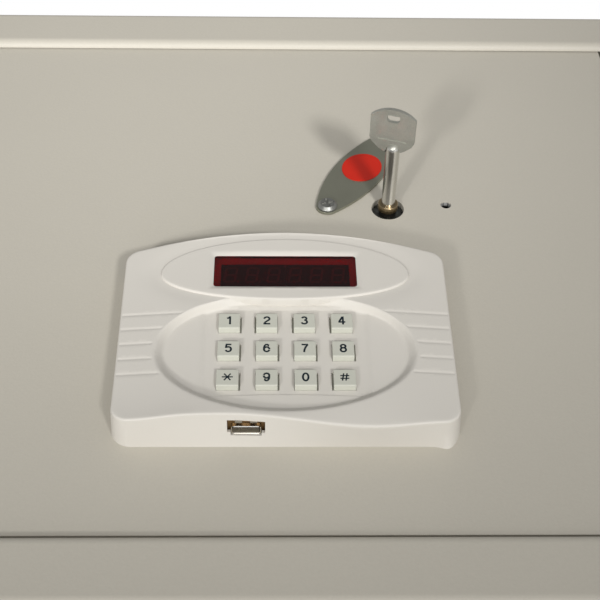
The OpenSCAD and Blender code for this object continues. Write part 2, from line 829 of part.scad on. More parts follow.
module keypad_housing() {
    color([0.82, 0.81, 0.78]) at_pad() difference() {
        union() {
            difference() {
                pad_blank();
                key_bowl();
                translate([0, 0, -over]) linear_extrude(cavity_top + over)
                    polygon(pad_outline(-pad_wall, 0));
            }
            intersection() {
                display_island();
                translate([0, 0, cavity_top]) slab(2 * pad_w, 2 * pad_w, pad_h);
            }
            at_bosses() translate([0, 0, plate_z]) cylinder(r = boss_r, h = cavity_top - plate_z + 1);
        }
        grooves();
        key_panel();
        key_holes();
        window_cuts();
        usb_cuts();
        at_bosses() translate([0, 0, plate_z - over])
            cylinder(r = boss_screw_r + screw_fit, h = boss_screw_len + 1 + over);
    }
}

module display_window() {
    color([0.45, 0.08, 0.08]) at_pad() translate([0, window_y, window_z - window_t])
        slab(window_w + 2 * window_rim, window_d + 2 * window_rim, window_t);
}

module display_modules() {
    color([0.08, 0.08, 0.08]) at_pad() for (side = [-1, 1])
        translate([side * (module_w / 2 + 0.1), module_y, board_top])
            slab(module_w, module_d, module_top - board_top);
}

module keypad_board() {
    color([0.1, 0.35, 0.2]) at_pad() translate([-board_w / 2, board_front, board_z])
        cube([board_w, board_rear - board_front, board_t]);
}

module key_mat() {
    width = 3 * key_pitch + cap_w + 2 * mat_margin;
    depth = 2 * key_pitch + cap_d + 2 * mat_margin;
    color([0.25, 0.25, 0.27]) at_pad() translate([0, 0, board_top]) {
        translate([-width / 2, -key_pitch - mat_margin, 0]) cube([width, depth, mat_t]);
        for (column = [0 : 3], row = [0 : 2]) at_key(column, row)
            translate([0, cap_d / 2, mat_t])
                cylinder(r1 = dome_r, r2 = dome_r - 1, h = dome_top - board_top - mat_t);
    }
}

module usb_shell() {
    wall = 0.4;
    color([0.72, 0.7, 0.66]) at_pad() translate([-usb_x, usb_front, usb_z]) difference() {
        translate([-usb_w / 2, 0, 0]) cube([usb_w, usb_d, usb_h]);
        translate([-usb_w / 2 + wall, -over, wall])
            cube([usb_w - 2 * wall, usb_d + 2 * over, usb_h - 2 * wall]);
    }
}

// The socket's plastic part: a foot on the board, a back wall and the tongue with the contacts
module usb_insert() {
    back = usb_front + usb_d;
    color([0.9, 0.9, 0.88]) at_pad() translate([-usb_x, 0, 0]) {
        translate([-usb_w / 2, board_front + 0.5, board_top])
            cube([usb_w, back + 1.5 - board_front - 0.5, usb_z - board_top]);
        translate([-usb_w / 2, back, board_top]) cube([usb_w, 1.5, usb_h + usb_z - board_top]);
        translate([-5.4, back - usb_d + 1.6, usb_z + usb_h - 2.5]) cube([10.8, usb_d - 1.6, 1.6]);
    }
}

module keypad_screws() {
    color([0.7, 0.7, 0.72]) translate([0, pad_y, lid_low]) at_bosses() {
        translate([0, 0, -screw_head_t]) cylinder(r1 = screw_head_r - 0.8, r2 = screw_head_r,
            h = screw_head_t);
        cylinder(r = boss_screw_r, h = lid_t + plate_z + boss_screw_len);
    }
}

module key_button(column, row) {
    low = flange_top - flange_t;
    high = panel_z + cap_h;
    color([0.83, 0.84, 0.82]) at_pad() at_key(column, row) {
        along_x(cap_w) polygon([[0, low], [0, panel_z + 0.2], [cap_slope, high - 0.2],
            [cap_slope + 0.4, high], [cap_d - 0.5, high - 0.1], [cap_d, high - 0.6], [cap_d, low]]);
        translate([-cap_w / 2 - flange_w, -flange_w, low])
            cube([cap_w + 2 * flange_w, cap_d + 2 * flange_w, flange_t]);
    }
}

// Lock and key

module lock_barrel() {
    color([0.1, 0.1, 0.11]) at_lock() difference() {
        union() {
            translate([0, 0, lock_low]) cylinder(r = lock_r, h = lock_face - lock_low);
            translate([0, 0, lid_low - lock_flange_t]) {
                cylinder(r = lock_flange_r, h = lock_flange_t);
                slab(2 * lock_stud_x, 2 * lock_ear_r, lock_flange_t);
                for (x = [-1, 1]) translate([x * lock_stud_x, 0, 0])
                    cylinder(r = lock_ear_r, h = lock_flange_t);
            }
        }
        translate([0, 0, lock_low - over]) cylinder(r = plug_r + run_fit, h = lid_t + lock_len + 2 * over);
        for (x = [-1, 1]) translate([x * lock_stud_x, 0, lid_low - lock_flange_t - over])
            cylinder(r = lock_stud_r + screw_fit, h = lock_flange_t + 2 * over);
        for (i = [0 : 11]) rotate(30 * i) translate([plug_r + 0.5, -0.3, lock_face - 0.8])
            cube([lock_r, 0.6, 2]);
    }
}

// Two studs under the lid with the nuts that hold the lock's flange
module lock_nuts() {
    stud_len = lock_flange_t + 5;
    color([0.7, 0.7, 0.72]) at_lock() for (x = [-1, 1]) translate([x * lock_stud_x, 0, 0]) {
        translate([0, 0, lid_low - stud_len]) cylinder(r = lock_stud_r, h = stud_len);
        translate([0, 0, lid_low - lock_flange_t - 3.2]) hex(4.2, 3.2);
    }
}

module lock_plug() {
    color([0.72, 0.58, 0.3]) at_lock() difference() {
        union() {
            translate([0, 0, lock_low - 0.3]) cylinder(r = plug_r, h = lock_face - lock_low + 0.1);
            translate([0, 0, cam_z]) slab(square_w, square_w, lock_low - cam_z);
        }
        translate([0, 0, keyway_low]) pipe(barrel_r + run_fit, barrel_hole_r - run_fit, keyway_depth);
        translate([0, 0, cam_z - over]) cylinder(r = 2 + screw_fit, h = 9);
    }
}

// A drive arm with its pin, which works in a cross slot of the carriage
module drive_arm(hub_r) {
    arm_w = 2 * drive_pin_r + 3;
    cylinder(r = hub_r, h = cam_t);
    rotate(pin_turn) {
        translate([0, -arm_w / 2, 0]) cube([crank_r, arm_w, cam_t]);
        translate([crank_r, 0, 0]) cylinder(r = arm_w / 2, h = cam_t);
        translate([crank_r, 0, carriage_top - steel_t - 1.5 - cam_z])
            cylinder(r = drive_pin_r, h = cam_z + cam_t - carriage_top + steel_t + 1.5);
    }
}

module lock_cam() {
    color([0.75, 0.75, 0.76]) at_lock() translate([0, 0, cam_z]) difference() {
        drive_arm(8);
        translate([0, 0, -over]) slab(square_w + 0.1, square_w + 0.1, cam_t + 2 * over);
    }
}

module cam_screw() {
    color([0.7, 0.7, 0.72]) at_lock() translate([0, 0, cam_z]) {
        translate([0, 0, -1.8]) cylinder(r = 4.8, h = 1.8);
        cylinder(r = 2, h = 7);
    }
}

module key_bow() {
    rise = 4.8;
    shoulder = bow_top - rise;
    half = bow_w / 2;
    corner = [[0, 7.7], [1.2, 5.2], [4.4, 2.2], [8, 0]];
    cheek = bow_low + corner[0][1];
    arch_r = (half * half + rise * rise) / (2 * rise);
    hole_z = bow_top - 5.4;
    rotate([90, 0, 0]) linear_extrude(bow_t, center = true) difference() {
        union() {
            polygon(concat([[half, shoulder], [-half, shoulder]],
                [for (p = corner) [p[0] - half, bow_low + p[1]]],
                [for (i = [3 : -1 : 0]) [half - corner[i][0], bow_low + corner[i][1]]]));
            intersection() {
                translate([0, bow_top - arch_r]) circle(arch_r, $fn = 96);
                translate([-half, cheek]) square([bow_w, bow_top - cheek]);
            }
        }
        for (x = [-1.2, 1.2]) translate([x, hole_z]) circle(2);
        translate([-1.2, hole_z - 2]) square([2.4, 4]);
        translate([-3.2, hole_z]) square([6.4, 2]);
    }
}

module key() {
    color([0.78, 0.78, 0.76]) translate([lock_x, lock_y, lid_top]) rotate(key_turn) {
        translate([bow_shift, 0, 0]) difference() {
            key_bow();
            for (face = [-1, 1]) translate([-7, face * bow_t / 2 - 0.3, bow_low + 7.5])
                cube([14, 0.6, 5.8]);
        }
        translate([0, 0, barrel_top]) cylinder(r = shank_r, h = shank_top - 2 - barrel_top);
        translate([0, 0, shank_top - 2]) rotate_extrude() intersection() {
            circle(shank_r);
            square([shank_r, shank_r]);
        }
        translate([0, 0, -lock_sink + 1]) cylinder(r = barrel_hole_r - 0.3, h = lock_sink + barrel_top - 1);
    }
}

module key_barrel() {
    low = -keyway_depth + 0.2;
    color([0.72, 0.62, 0.42]) translate([lock_x, lock_y, lid_top]) difference() {
        union() {
            translate([0, 0, low]) cylinder(r = barrel_r, h = barrel_top - low - 0.5);
            translate([0, 0, 0.5]) cylinder(r = collar_r, h = barrel_top - 0.8);
            translate([0, 0, barrel_top - 0.3]) cylinder(r1 = collar_r, r2 = collar_r - 0.3, h = 0.3);
        }
        translate([0, 0, low - over]) cylinder(r = barrel_hole_r, h = barrel_top - low + 2 * over);
        for (i = [0 : 6]) rotate(51.4 * i) translate([barrel_hole_r - 0.3, -0.5, low - over])
            cube([1.2, 1, 2.5 + over]);
    }
}

// Cover plate

function arc_points(cx, cy, r, from, to, steps) =
    [for (i = [0 : steps - 1]) let (a = from + (to - from) * i / steps) [cx + r * cos(a), cy + r * sin(a)]];

// A long outline: two round ends, and on each side a wide arc that meets both smoothly
function spindle(reach, end_r, w) = let (
        half = reach / 2,
        arc_r = (half * half + w * w / 4 - end_r * end_r) / (w - 2 * end_r),
        lean = asin(half / (arc_r - end_r))
    ) concat(
        arc_points(half, w / 2 - arc_r, arc_r, 90 - lean, 90 + lean, 24),
        arc_points(0, 0, end_r, 90 + lean, 270 - lean, 12),
        arc_points(half, arc_r - w / 2, arc_r, 270 - lean, 270 + lean, 24),
        arc_points(reach, 0, end_r, 270 + lean, 450 - lean, 12)
    );

module cover_plate() {
    color([0.6, 0.6, 0.58]) translate([pivot_x, pivot_y, plate_low]) rotate(plate_turn)
        linear_extrude(plate_t) difference() {
            polygon(spindle(plate_reach, plate_end_r, plate_w));
            circle(rivet_r + run_fit);
            translate([plate_hole_x, 0]) circle(plate_hole_r);
        }
}

module cover_rivet() {
    tail = 1.5;
    head_low = plate_high + slide_gap;
    head_t = 1.6;
    color([0.8, 0.8, 0.8]) translate([pivot_x, pivot_y, 0]) {
        translate([0, 0, lid_low - tail]) cylinder(r1 = rivet_head_r - 1.2, r2 = rivet_head_r - 0.4,
            h = tail);
        translate([0, 0, lid_low]) cylinder(r = rivet_r, h = head_low - lid_low);
        translate([0, 0, head_low]) difference() {
            cylinder(r1 = rivet_head_r, r2 = rivet_head_r - 1.4, h = head_t);
            for (turn = [15, 105]) rotate(turn) translate([0, 0, head_t - 0.7]) slab(1.4, 6.4, 1);
        }
    }
}

module cover_bush() {
    color([0.75, 0.75, 0.75]) translate([pivot_x + bush_dx, pivot_y + bush_dy, lid_low])
        pipe(bush_r, bush_r - 0.5, lid_t - 0.6);
}

// Bolt work

module bolt_bracket() {
    side = 25;
    lip = 16;
    width = 2 * (bolt_x + side);
    color([0.64, 0.64, 0.62]) difference() {
        union() {
            translate([-width / 2, bracket_front, bracket_low])
                cube([width, steel_t, lid_low - bracket_low]);
            translate([-width / 2, bracket_front, lid_low - steel_t]) cube([width, lip, steel_t]);
        }
        on_bolts() translate([0, 0, bracket_front - over])
            cylinder(r = bolt_r + run_fit, h = steel_t + 2 * over);
    }
}

module slot_along_y(x, y, r) {
    translate([x, y, carriage_top - steel_t - over]) linear_extrude(steel_t + 2 * over) {
        circle(r);
        translate([0, throw]) circle(r);
        translate([-r, 0]) square([2 * r, throw]);
    }
}

// Cross slot for a drive pin, whose axis is at x, y
module cross_slot(x, y) {
    r = drive_pin_r + drive_gap;
    near = crank_r * cos(pin_turn);
    translate([x, y + crank_r * sin(pin_turn), carriage_top - steel_t - over])
        linear_extrude(steel_t + 2 * over) {
            translate([near, 0]) circle(r);
            translate([crank_r, 0]) circle(r);
            translate([near, -r]) square([crank_r - near, 2 * r]);
        }
}

module bolt_carriage() {
    low = carriage_top - steel_t;
    color([0.7, 0.7, 0.68]) difference() {
        union() {
            translate([-carriage_w / 2, bolt_end, low])
                cube([carriage_w, steel_t, bolt_z + bolt_r - low]);
            translate([-carriage_w / 2, bolt_end, low]) cube([carriage_w, beam_rear - bolt_end, steel_t]);
            translate([lock_x - arm_rx, beam_rear - over, low])
                cube([2 * arm_rx, arm_rear - beam_rear + over, steel_t]);
        }
        for (x = [-front_post_x, front_post_x]) slot_along_y(x, front_post_y, stud_r + slide_gap);
        for (x = [-rear_post_dx, rear_post_dx])
            slot_along_y(lock_x + x, rear_post_y, stud_r + slide_gap);
        cross_slot(lock_x, lock_y);
        cross_slot(lock_x, motor_y);
        slot_along_y(lock_x, lock_y, 5.2);
        on_bolts() translate([0, 0, bolt_end - over])
            cylinder(r = bolt_spigot_r + screw_fit, h = steel_t + 2 * over);
    }
}

module live_bolts() {
    tip = 1.5;
    color([0.8, 0.8, 0.8]) on_bolts() {
        translate([0, 0, bolt_tip]) cylinder(r1 = bolt_r - tip, r2 = bolt_r, h = tip);
        translate([0, 0, bolt_tip + tip]) cylinder(r = bolt_r, h = bolt_len - tip);
        translate([0, 0, bolt_end]) cylinder(r = bolt_spigot_r, h = steel_t + nut_t + 2);
    }
}

module bolt_nuts() {
    color([0.7, 0.7, 0.72]) on_bolts() translate([0, 0, bolt_end + steel_t]) difference() {
        hex(7.5, nut_t);
        translate([0, 0, -over]) cylinder(r = bolt_spigot_r + run_fit, h = nut_t + 2 * over);
    }
}

// Spacers that hang from the lid, with the studs that run in the carriage's slots
module guide_posts() {
    stud_low = carriage_top - steel_t - washer_t - guide_nut_t - 2;
    color([0.72, 0.72, 0.72]) at_posts() {
        translate([0, 0, carriage_top + slide_gap])
            cylinder(r = post_r, h = lid_low - carriage_top - slide_gap);
        translate([0, 0, stud_low]) cylinder(r = stud_r, h = carriage_top + slide_gap - stud_low);
    }
}

module guide_nuts() {
    washer_low = carriage_top - steel_t - slide_gap - washer_t;
    color([0.7, 0.7, 0.72]) at_posts() difference() {
        union() {
            translate([0, 0, washer_low]) cylinder(r = washer_r, h = washer_t);
            translate([0, 0, washer_low - guide_nut_t]) hex(guide_nut_r, guide_nut_t);
        }
        translate([0, 0, washer_low - guide_nut_t - over])
            cylinder(r = stud_r + run_fit, h = guide_nut_t + washer_t + 2 * over);
    }
}

module gear_motor() {
    color([0.55, 0.55, 0.57]) translate([lock_x, motor_y, gear_z]) difference() {
        union() {
            translate([-gear_w / 2, -gear_axle, 0]) cube([gear_w, gear_d, gear_t]);
            translate([0, 0, -1.5]) cylinder(r = 5.5, h = 2);
            translate([0, gear_d - 2 * gear_axle, gear_t - motor_r]) intersection() {
                rotate([0, -90, 0]) cylinder(r = motor_r, h = gear_w / 2 + motor_len);
                translate([-gear_w / 2 - motor_len - over, -motor_r, -6])
                    cube([gear_w + motor_len, 2 * motor_r, gear_t + 1.5]);
            }
        }
        translate([0, 0, -1.5 - over]) cylinder(r = crank_shaft_r + run_fit, h = 8 + over);
    }
}

module motor_bracket() {
    plate_h = lid_low - gear_z - gear_t;
    tab = 1.5;
    bracket_foot = 4;
    color([0.64, 0.64, 0.62]) translate([lock_x, motor_y + gear_d / 2 - gear_axle, 0]) {
        translate([0, 0, lid_low - plate_h]) slab(gear_w + 2 * tab, gear_d + 2 * bracket_foot, plate_h);
        for (y = [-1, 1]) translate([0, y * (gear_d / 2 + tab / 2), gear_z + 1])
            slab(gear_w - 6, tab, gear_t - 1);
    }
}

module motor_crank() {
    color([0.75, 0.75, 0.76]) translate([lock_x, motor_y, cam_z]) {
        drive_arm(7);
        cylinder(r = crank_shaft_r, h = gear_z + 6 - cam_z);
        translate([0, 0, cam_t]) cylinder(r = 5.5, h = gear_z - 2 - cam_z - cam_t);
    }
}

// Cover, board and batteries

module mechanism_cover() {
    depth = cover_rear - cover_front;
    mid_y = (cover_front + cover_rear) / 2;
    color([0.5, 0.5, 0.48]) difference() {
        union() {
            translate([0, mid_y, cover_low]) slab(cover_w, depth, cover_h);
            translate([-cover_w / 2 - cover_flange, cover_front, lid_low - cover_t])
                cube([cover_w + 2 * cover_flange, depth + cover_flange, cover_t]);
        }
        translate([0, mid_y, cover_floor])
            slab(cover_w - 2 * cover_t, depth - 2 * cover_t, cover_h);
        on_bolts() translate([0, 0, cover_front - over]) cylinder(r = bolt_r + 1, h = cover_t + 2 * over);
        translate([tray_x, tray_y, cover_low - over])
            slab(tray_w - 2 * door_rim, tray_d - 2 * door_rim, cover_t + 2 * over);
        at_cover_screws() translate([0, 0, lid_low - cover_t - over])
            cylinder(r = 2 + screw_fit, h = cover_t + 2 * over);
    }
}

module cover_screws() {
    color([0.7, 0.7, 0.72]) at_cover_screws() {
        translate([0, 0, lid_low - cover_t]) cylinder(r = 2, h = cover_t + 3);
        translate([0, 0, lid_low - cover_t - 2]) cylinder(r1 = 3, r2 = 3.8, h = 2);
    }
}

module battery_tray() {
    color([0.15, 0.15, 0.16]) translate([tray_x, tray_y, cover_floor]) difference() {
        slab(tray_w, tray_d, tray_h);
        translate([0, 0, -over])
            slab(tray_w - 2 * tray_wall, tray_d - 2 * tray_wall, tray_h - tray_wall + over);
    }
}

module batteries() {
    color([0.25, 0.3, 0.4]) for (i = [0 : cell_count - 1])
        translate([tray_x + (i - (cell_count - 1) / 2) * cell_pitch, tray_y - cell_len / 2,
            cover_floor + tray_h - tray_wall - cell_r - slide_gap]) rotate([-90, 0, 0]) {
                cylinder(r = cell_r, h = cell_len);
                translate([0, 0, cell_len]) cylinder(r = 2.6, h = 1.2);
            }
}

module battery_door() {
    color([0.18, 0.18, 0.19]) translate([tray_x, tray_y, 0]) difference() {
        union() {
            translate([0, 0, cover_low]) slab(tray_w - 2 * door_rim - 0.6,
                tray_d - 2 * door_rim - 0.6, cover_t);
            translate([0, 0, cover_low - 1.2]) slab(tray_w + 2, tray_d + 2, 1.2);
        }
        translate([0, -tray_d / 4, cover_low - 1.2 - over]) slab(16, 1.2, 0.6 + over);
        translate([0, -tray_d / 4 + 3, cover_low - 1.2 - over]) slab(16, 1.2, 0.6 + over);
    }
}

module control_board() {
    relay = [14, 12, 7];
    chip = [16, 16, 4];
    can_r = 5;
    can_h = 10;
    color([0.1, 0.35, 0.2]) translate([pcb_x, pcb_y, pcb_z]) {
        slab(pcb_w, pcb_d, board_t);
        translate([-pcb_w / 4, -pcb_d / 5, -chip[2]]) slab(chip[0], chip[1], chip[2]);
        translate([pcb_w / 4, pcb_d / 10, -relay[2]]) slab(relay[0], relay[1], relay[2]);
        translate([0, pcb_d / 5, -can_h]) cylinder(r = can_r, h = can_h);
    }
}

module board_standoffs() {
    color([0.8, 0.75, 0.55]) for (x = [-1, 1], y = [-1, 1])
        translate([pcb_x + x * (pcb_w / 2 - 5), pcb_y + y * (pcb_d / 2 - 5), pcb_z + board_t])
            cylinder(r = standoff_r, h = lid_low - pcb_z - board_t);
}

// Flat cable from the keypad board down through the lid to the control board
module ribbon_cable() {
    high = lid_top + board_z;
    low = pcb_z + board_t;
    color([0.7, 0.7, 0.74]) translate([ribbon_x - ribbon_w / 2, pad_y + ribbon_y - ribbon_t / 2, low])
        cube([ribbon_w, ribbon_t, high - low]);
}

body_shell();
base_plate();
floor_lining();
strike_plate();
lid_ledges();
hinge_brackets();
hinge_pins();
lid_plate();
hinge_lugs();
keypad_backplate();
keypad_housing();
display_window();
display_modules();
keypad_board();
key_mat();
usb_shell();
usb_insert();
keypad_screws();
lock_barrel();
lock_nuts();
cover_rivet();
cover_bush();
bolt_bracket();
guide_posts();
guide_nuts();
gear_motor();
motor_bracket();
control_board();
board_standoffs();
ribbon_cable();
battery_tray();
batteries();
battery_door();
mechanism_cover();
cover_screws();
bolt_carriage();
live_bolts();
bolt_nuts();
lock_plug();
lock_cam();
cam_screw();
motor_crank();
key();
key_barrel();
cover_plate();
key_button(0, 0);  // button_1
key_button(1, 0);  // button_2
key_button(2, 0);  // button_3
key_button(3, 0);  // button_4
key_button(0, 1);  // button_5
key_button(1, 1);  // button_6
key_button(2, 1);  // button_7
key_button(3, 1);  // button_8
key_button(0, 2);  // button_star
key_button(1, 2);  // button_9
key_button(2, 2);  // button_0
key_button(3, 2);  // button_hash
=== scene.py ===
"""Finish and fine detail of the laptop safe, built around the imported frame. Lengths in MM are millimetres."""
import json
import math

import bmesh
import bpy
import numpy as np
from mathutils import Matrix, Vector, kdtree
from mathutils.geometry import delaunay_2d_cdt


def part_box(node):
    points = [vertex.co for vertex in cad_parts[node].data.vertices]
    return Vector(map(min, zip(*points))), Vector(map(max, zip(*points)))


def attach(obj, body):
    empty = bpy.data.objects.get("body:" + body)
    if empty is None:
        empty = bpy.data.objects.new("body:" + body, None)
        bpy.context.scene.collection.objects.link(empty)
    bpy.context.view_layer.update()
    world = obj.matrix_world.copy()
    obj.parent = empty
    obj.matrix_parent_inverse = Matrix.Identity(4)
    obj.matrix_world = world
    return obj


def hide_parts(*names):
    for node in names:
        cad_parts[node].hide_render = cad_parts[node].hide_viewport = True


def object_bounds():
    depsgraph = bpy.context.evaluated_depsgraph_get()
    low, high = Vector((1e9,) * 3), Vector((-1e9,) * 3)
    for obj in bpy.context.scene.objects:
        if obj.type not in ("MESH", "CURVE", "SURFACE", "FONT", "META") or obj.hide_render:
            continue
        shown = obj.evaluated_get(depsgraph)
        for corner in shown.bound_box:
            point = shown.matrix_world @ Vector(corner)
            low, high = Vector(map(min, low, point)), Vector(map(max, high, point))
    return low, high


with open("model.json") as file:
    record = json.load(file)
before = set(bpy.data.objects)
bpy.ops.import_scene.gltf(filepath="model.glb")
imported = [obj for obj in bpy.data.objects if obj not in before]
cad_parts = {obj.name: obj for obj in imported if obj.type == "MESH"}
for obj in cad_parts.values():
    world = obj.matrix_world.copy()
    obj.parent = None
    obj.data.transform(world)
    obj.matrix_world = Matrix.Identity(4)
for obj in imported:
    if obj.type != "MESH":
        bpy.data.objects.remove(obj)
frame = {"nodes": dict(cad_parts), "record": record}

cad_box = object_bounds()
nodes = frame["nodes"]
scene = bpy.context.scene
MM = 0.001

# Camera: the photograph's place, direction and framing
CAMERA_AT = (-0.00615, -0.44867, 0.55902)
CAMERA_DOWN = math.radians(45.19)
CAMERA_YAW = math.radians(1.86)
CAMERA_ROLL = math.radians(1.44)
CAMERA_LENS = 73.15

# Keypad, in millimetres from the middle key row's foot on the lid
KEY_PITCH = 17.0
CAP_W, CAP_D = 9.7, 10.0
CAP_FLANGE = 1.0
CAP_GAP = 0.15
CAP_TOP, CAP_FALL, CAP_RUN = 14.7, 0.1, 8.7
SLOT_GAP = 0.75
KEYS = (("1", "2", "3", "4"), ("5", "6", "7", "8"), ("star", "9", "0", "hash"))
SLOT_SIDES = ((1, -1, -1, -1), (1, 1, 1, 1), (1, 1, 1, -1))
PAD_RX, PAD_CORNER = 75.0, 8.0
PAD_FRONT, PAD_REAR, PAD_SAG = 37.6, 80.4, 13.6
PAD_TAPER, PAD_MID_Y = 1.6, 20.0
PAD_H, PAD_CROWN, PAD_FALL = 17.3, 2.3, 0.009
PAD_DRAFT, PAD_EDGE = 1.0, 1.1
SHELL_T = 1.7
FLARE, FLARE_X, FLARE_Y, FLARE_W = 1.7, 70.0, -38.0, 4.0
WAVE_RISE, WAVE_PUSH, WAVE_LEFT = 1.2, 2.6, 1.4
WAVE_LEN, WAVE_MID, WAVE_REACH = 140.0, 4.0, 12.0
BOWL_Y, BOWL_RX, BOWL_RY, BOWL_POWER = 3.4, 54.5, 31.1, 2.4
BOWL_FLOOR, BOWL_SLOPE, BOWL_FOOT_R, BOWL_RIM_R = 12.4, 1.08, 0.9, 0.8
PANEL_RX, PANEL_FRONT, PANEL_REAR, PANEL_DROP, PANEL_ARC_R = 37.0, -20.1, 32.5, 0.6, 500.0
PANEL_RAMP, PANEL_REAR_RAMP, PANEL_FRONT_RAMP = 0.9, 0.9, 0.35
ISLAND_RX, ISLAND_REAR, ISLAND_FRONT, ISLAND_Y = 58.3, 22.6, 18.5, 52.0
ISLAND_DROP, ISLAND_FALL, ISLAND_CROWN = 0.3, 0.01, 1.4
ISLAND_MOAT, ISLAND_MOAT_W = 0.6, 7.0
ISLAND_EDGE_Y, ISLAND_EDGE_R = (44, 60), (1.1, 0.4)
WINDOW_W, WINDOW_D, WINDOW_Y, WINDOW_R = 67.0, 20.7, 53.4, 1.5
WINDOW_FRAME, WINDOW_LEVEL = 2.1, 15.62
GROOVES = tuple(26.0 - 9.05 * i for i in range(5))
GROOVE_W, GROOVE_DEPTH, GROOVE_LEAN, GROOVE_SKEW = 2.2, 0.28, 0.9, 1.2
GROOVE_FROM, GROOVE_CLEAR = 42.0, 3.6
USB_X, USB_CUT_W, USB_W, USB_LOW, USB_STEP, USB_HIGH = -17.0, 16.1, 13.1, 6.3, 8.0, 14.7
HOOD_BACK, TABS_BACK, SOCKET_RISE = 3.3, 2.4, 0.15

# What is printed or shown on the keys, the display and the cover plate
INK, DIGIT_STROKE, SIGN_STROKE, DIGIT_Y, DIGIT_SINK = 0.04, 0.88, 0.62, 5.2, 0.052
SEGMENT_H, SEGMENT_W, SEGMENT_T, SEGMENT_INK = 9.2, 5.0, 1.0, 0.02
SEGMENT_PITCH, SEGMENT_SHIFT, SLANT = 10.1, 0.4, 0.13
BADGE_AT, BADGE_RX, BADGE_RY = 36.4, 11.8, 10.2

# How fine the housing's mesh is: along its lines and sides, and between them
LINE_GAP, SIDE_GAP = 1.2, 1.3
CLOUD_GAP, CLOUD_CLEAR, RIM_CLEAR = 1.5, 0.55, 0.25

# Light from the surroundings, and what reflections see at the horizon and overhead
AMBIENT, ROOM_LEVEL, ROOM_OVERHEAD = 0.35, 0.75, 0.18

LID_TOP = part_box("lid_plate")[1].z
PAD_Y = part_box("button_6")[0].y + CAP_FLANGE * MM


def on_pad(x, y, z):
    """A place in the keypad's own millimetres, in the frame."""
    return Vector((x * MM, PAD_Y + y * MM, LID_TOP + z * MM))


# Nodes and materials

def add(tree, kind, inputs=None, **props):
    """A shader node whose inputs are values or other nodes' outputs."""
    made = tree.nodes.new("ShaderNode" + kind)
    for name, value in props.items():
        setattr(made, name, value)
    for name, value in (inputs or {}).items():
        if isinstance(value, bpy.types.NodeSocket):
            tree.links.new(value, made.inputs[name])
        else:
            made.inputs[name].default_value = value
    return made


def spread(tree, source, amount, middle):
    """A 0 to 1 output turned into middle plus or minus amount."""
    made = add(tree, "Math", {0: source, 1: 2 * amount, 2: middle - amount}, operation="MULTIPLY_ADD")
    return made.outputs[0]


def finish(name, colour, roughness, metallic=0.0, mottle=0.02, mottle_size=0.04, grain=0.02,
           grain_size=0.0006, stretch=(1, 1, 1), turn=0.0, uneven=0.05, bump=0.00002, bump_size=0.001,
           bump_detail=2.0, **shader):
    """A procedural material: broad mottling, fine grain, uneven gloss and a fine relief."""
    material = bpy.data.materials.new(name)
    material.use_nodes = True
    tree = material.node_tree
    surface = tree.nodes["Principled BSDF"]
    place = add(tree, "TexCoord").outputs["Object"]
    turned = add(tree, "Mapping", {"Vector": place, "Rotation": (0, 0, -turn)}).outputs["Vector"]
    drawn = add(tree, "Mapping", {"Vector": turned, "Scale": stretch}).outputs["Vector"]
    broad = add(tree, "TexNoise", {"Vector": place, "Scale": 1 / mottle_size, "Detail": 3.0}).outputs[0]
    fine = add(tree, "TexNoise", {"Vector": drawn, "Scale": 1 / grain_size, "Detail": 3.0}).outputs[0]
    relief = add(tree, "TexNoise", {"Vector": drawn, "Scale": 1 / bump_size,
                                    "Detail": bump_detail, "Roughness": 0.55}).outputs[0]
    shade = add(tree, "Math", {0: spread(tree, broad, mottle * 2, 1.0),
                               1: spread(tree, fine, grain * 2, 1.0)}, operation="MULTIPLY").outputs[0]
    tinted = add(tree, "VectorMath", {0: colour, "Scale": shade}, operation="SCALE").outputs[0]
    tree.links.new(tinted, surface.inputs["Base Color"])
    tree.links.new(spread(tree, fine, uneven, roughness), surface.inputs["Roughness"])
    bumped = add(tree, "Bump", {"Height": relief, "Strength": 1.0, "Distance": bump})
    tree.links.new(bumped.outputs[0], surface.inputs["Normal"])
    surface.inputs["Metallic"].default_value = metallic
    for socket, value in shader.items():
        surface.inputs[socket.replace("_", " ")].default_value = value
    return material


BRUSHED = (1, 26, 1)
PLATE_TURN = math.radians(58)

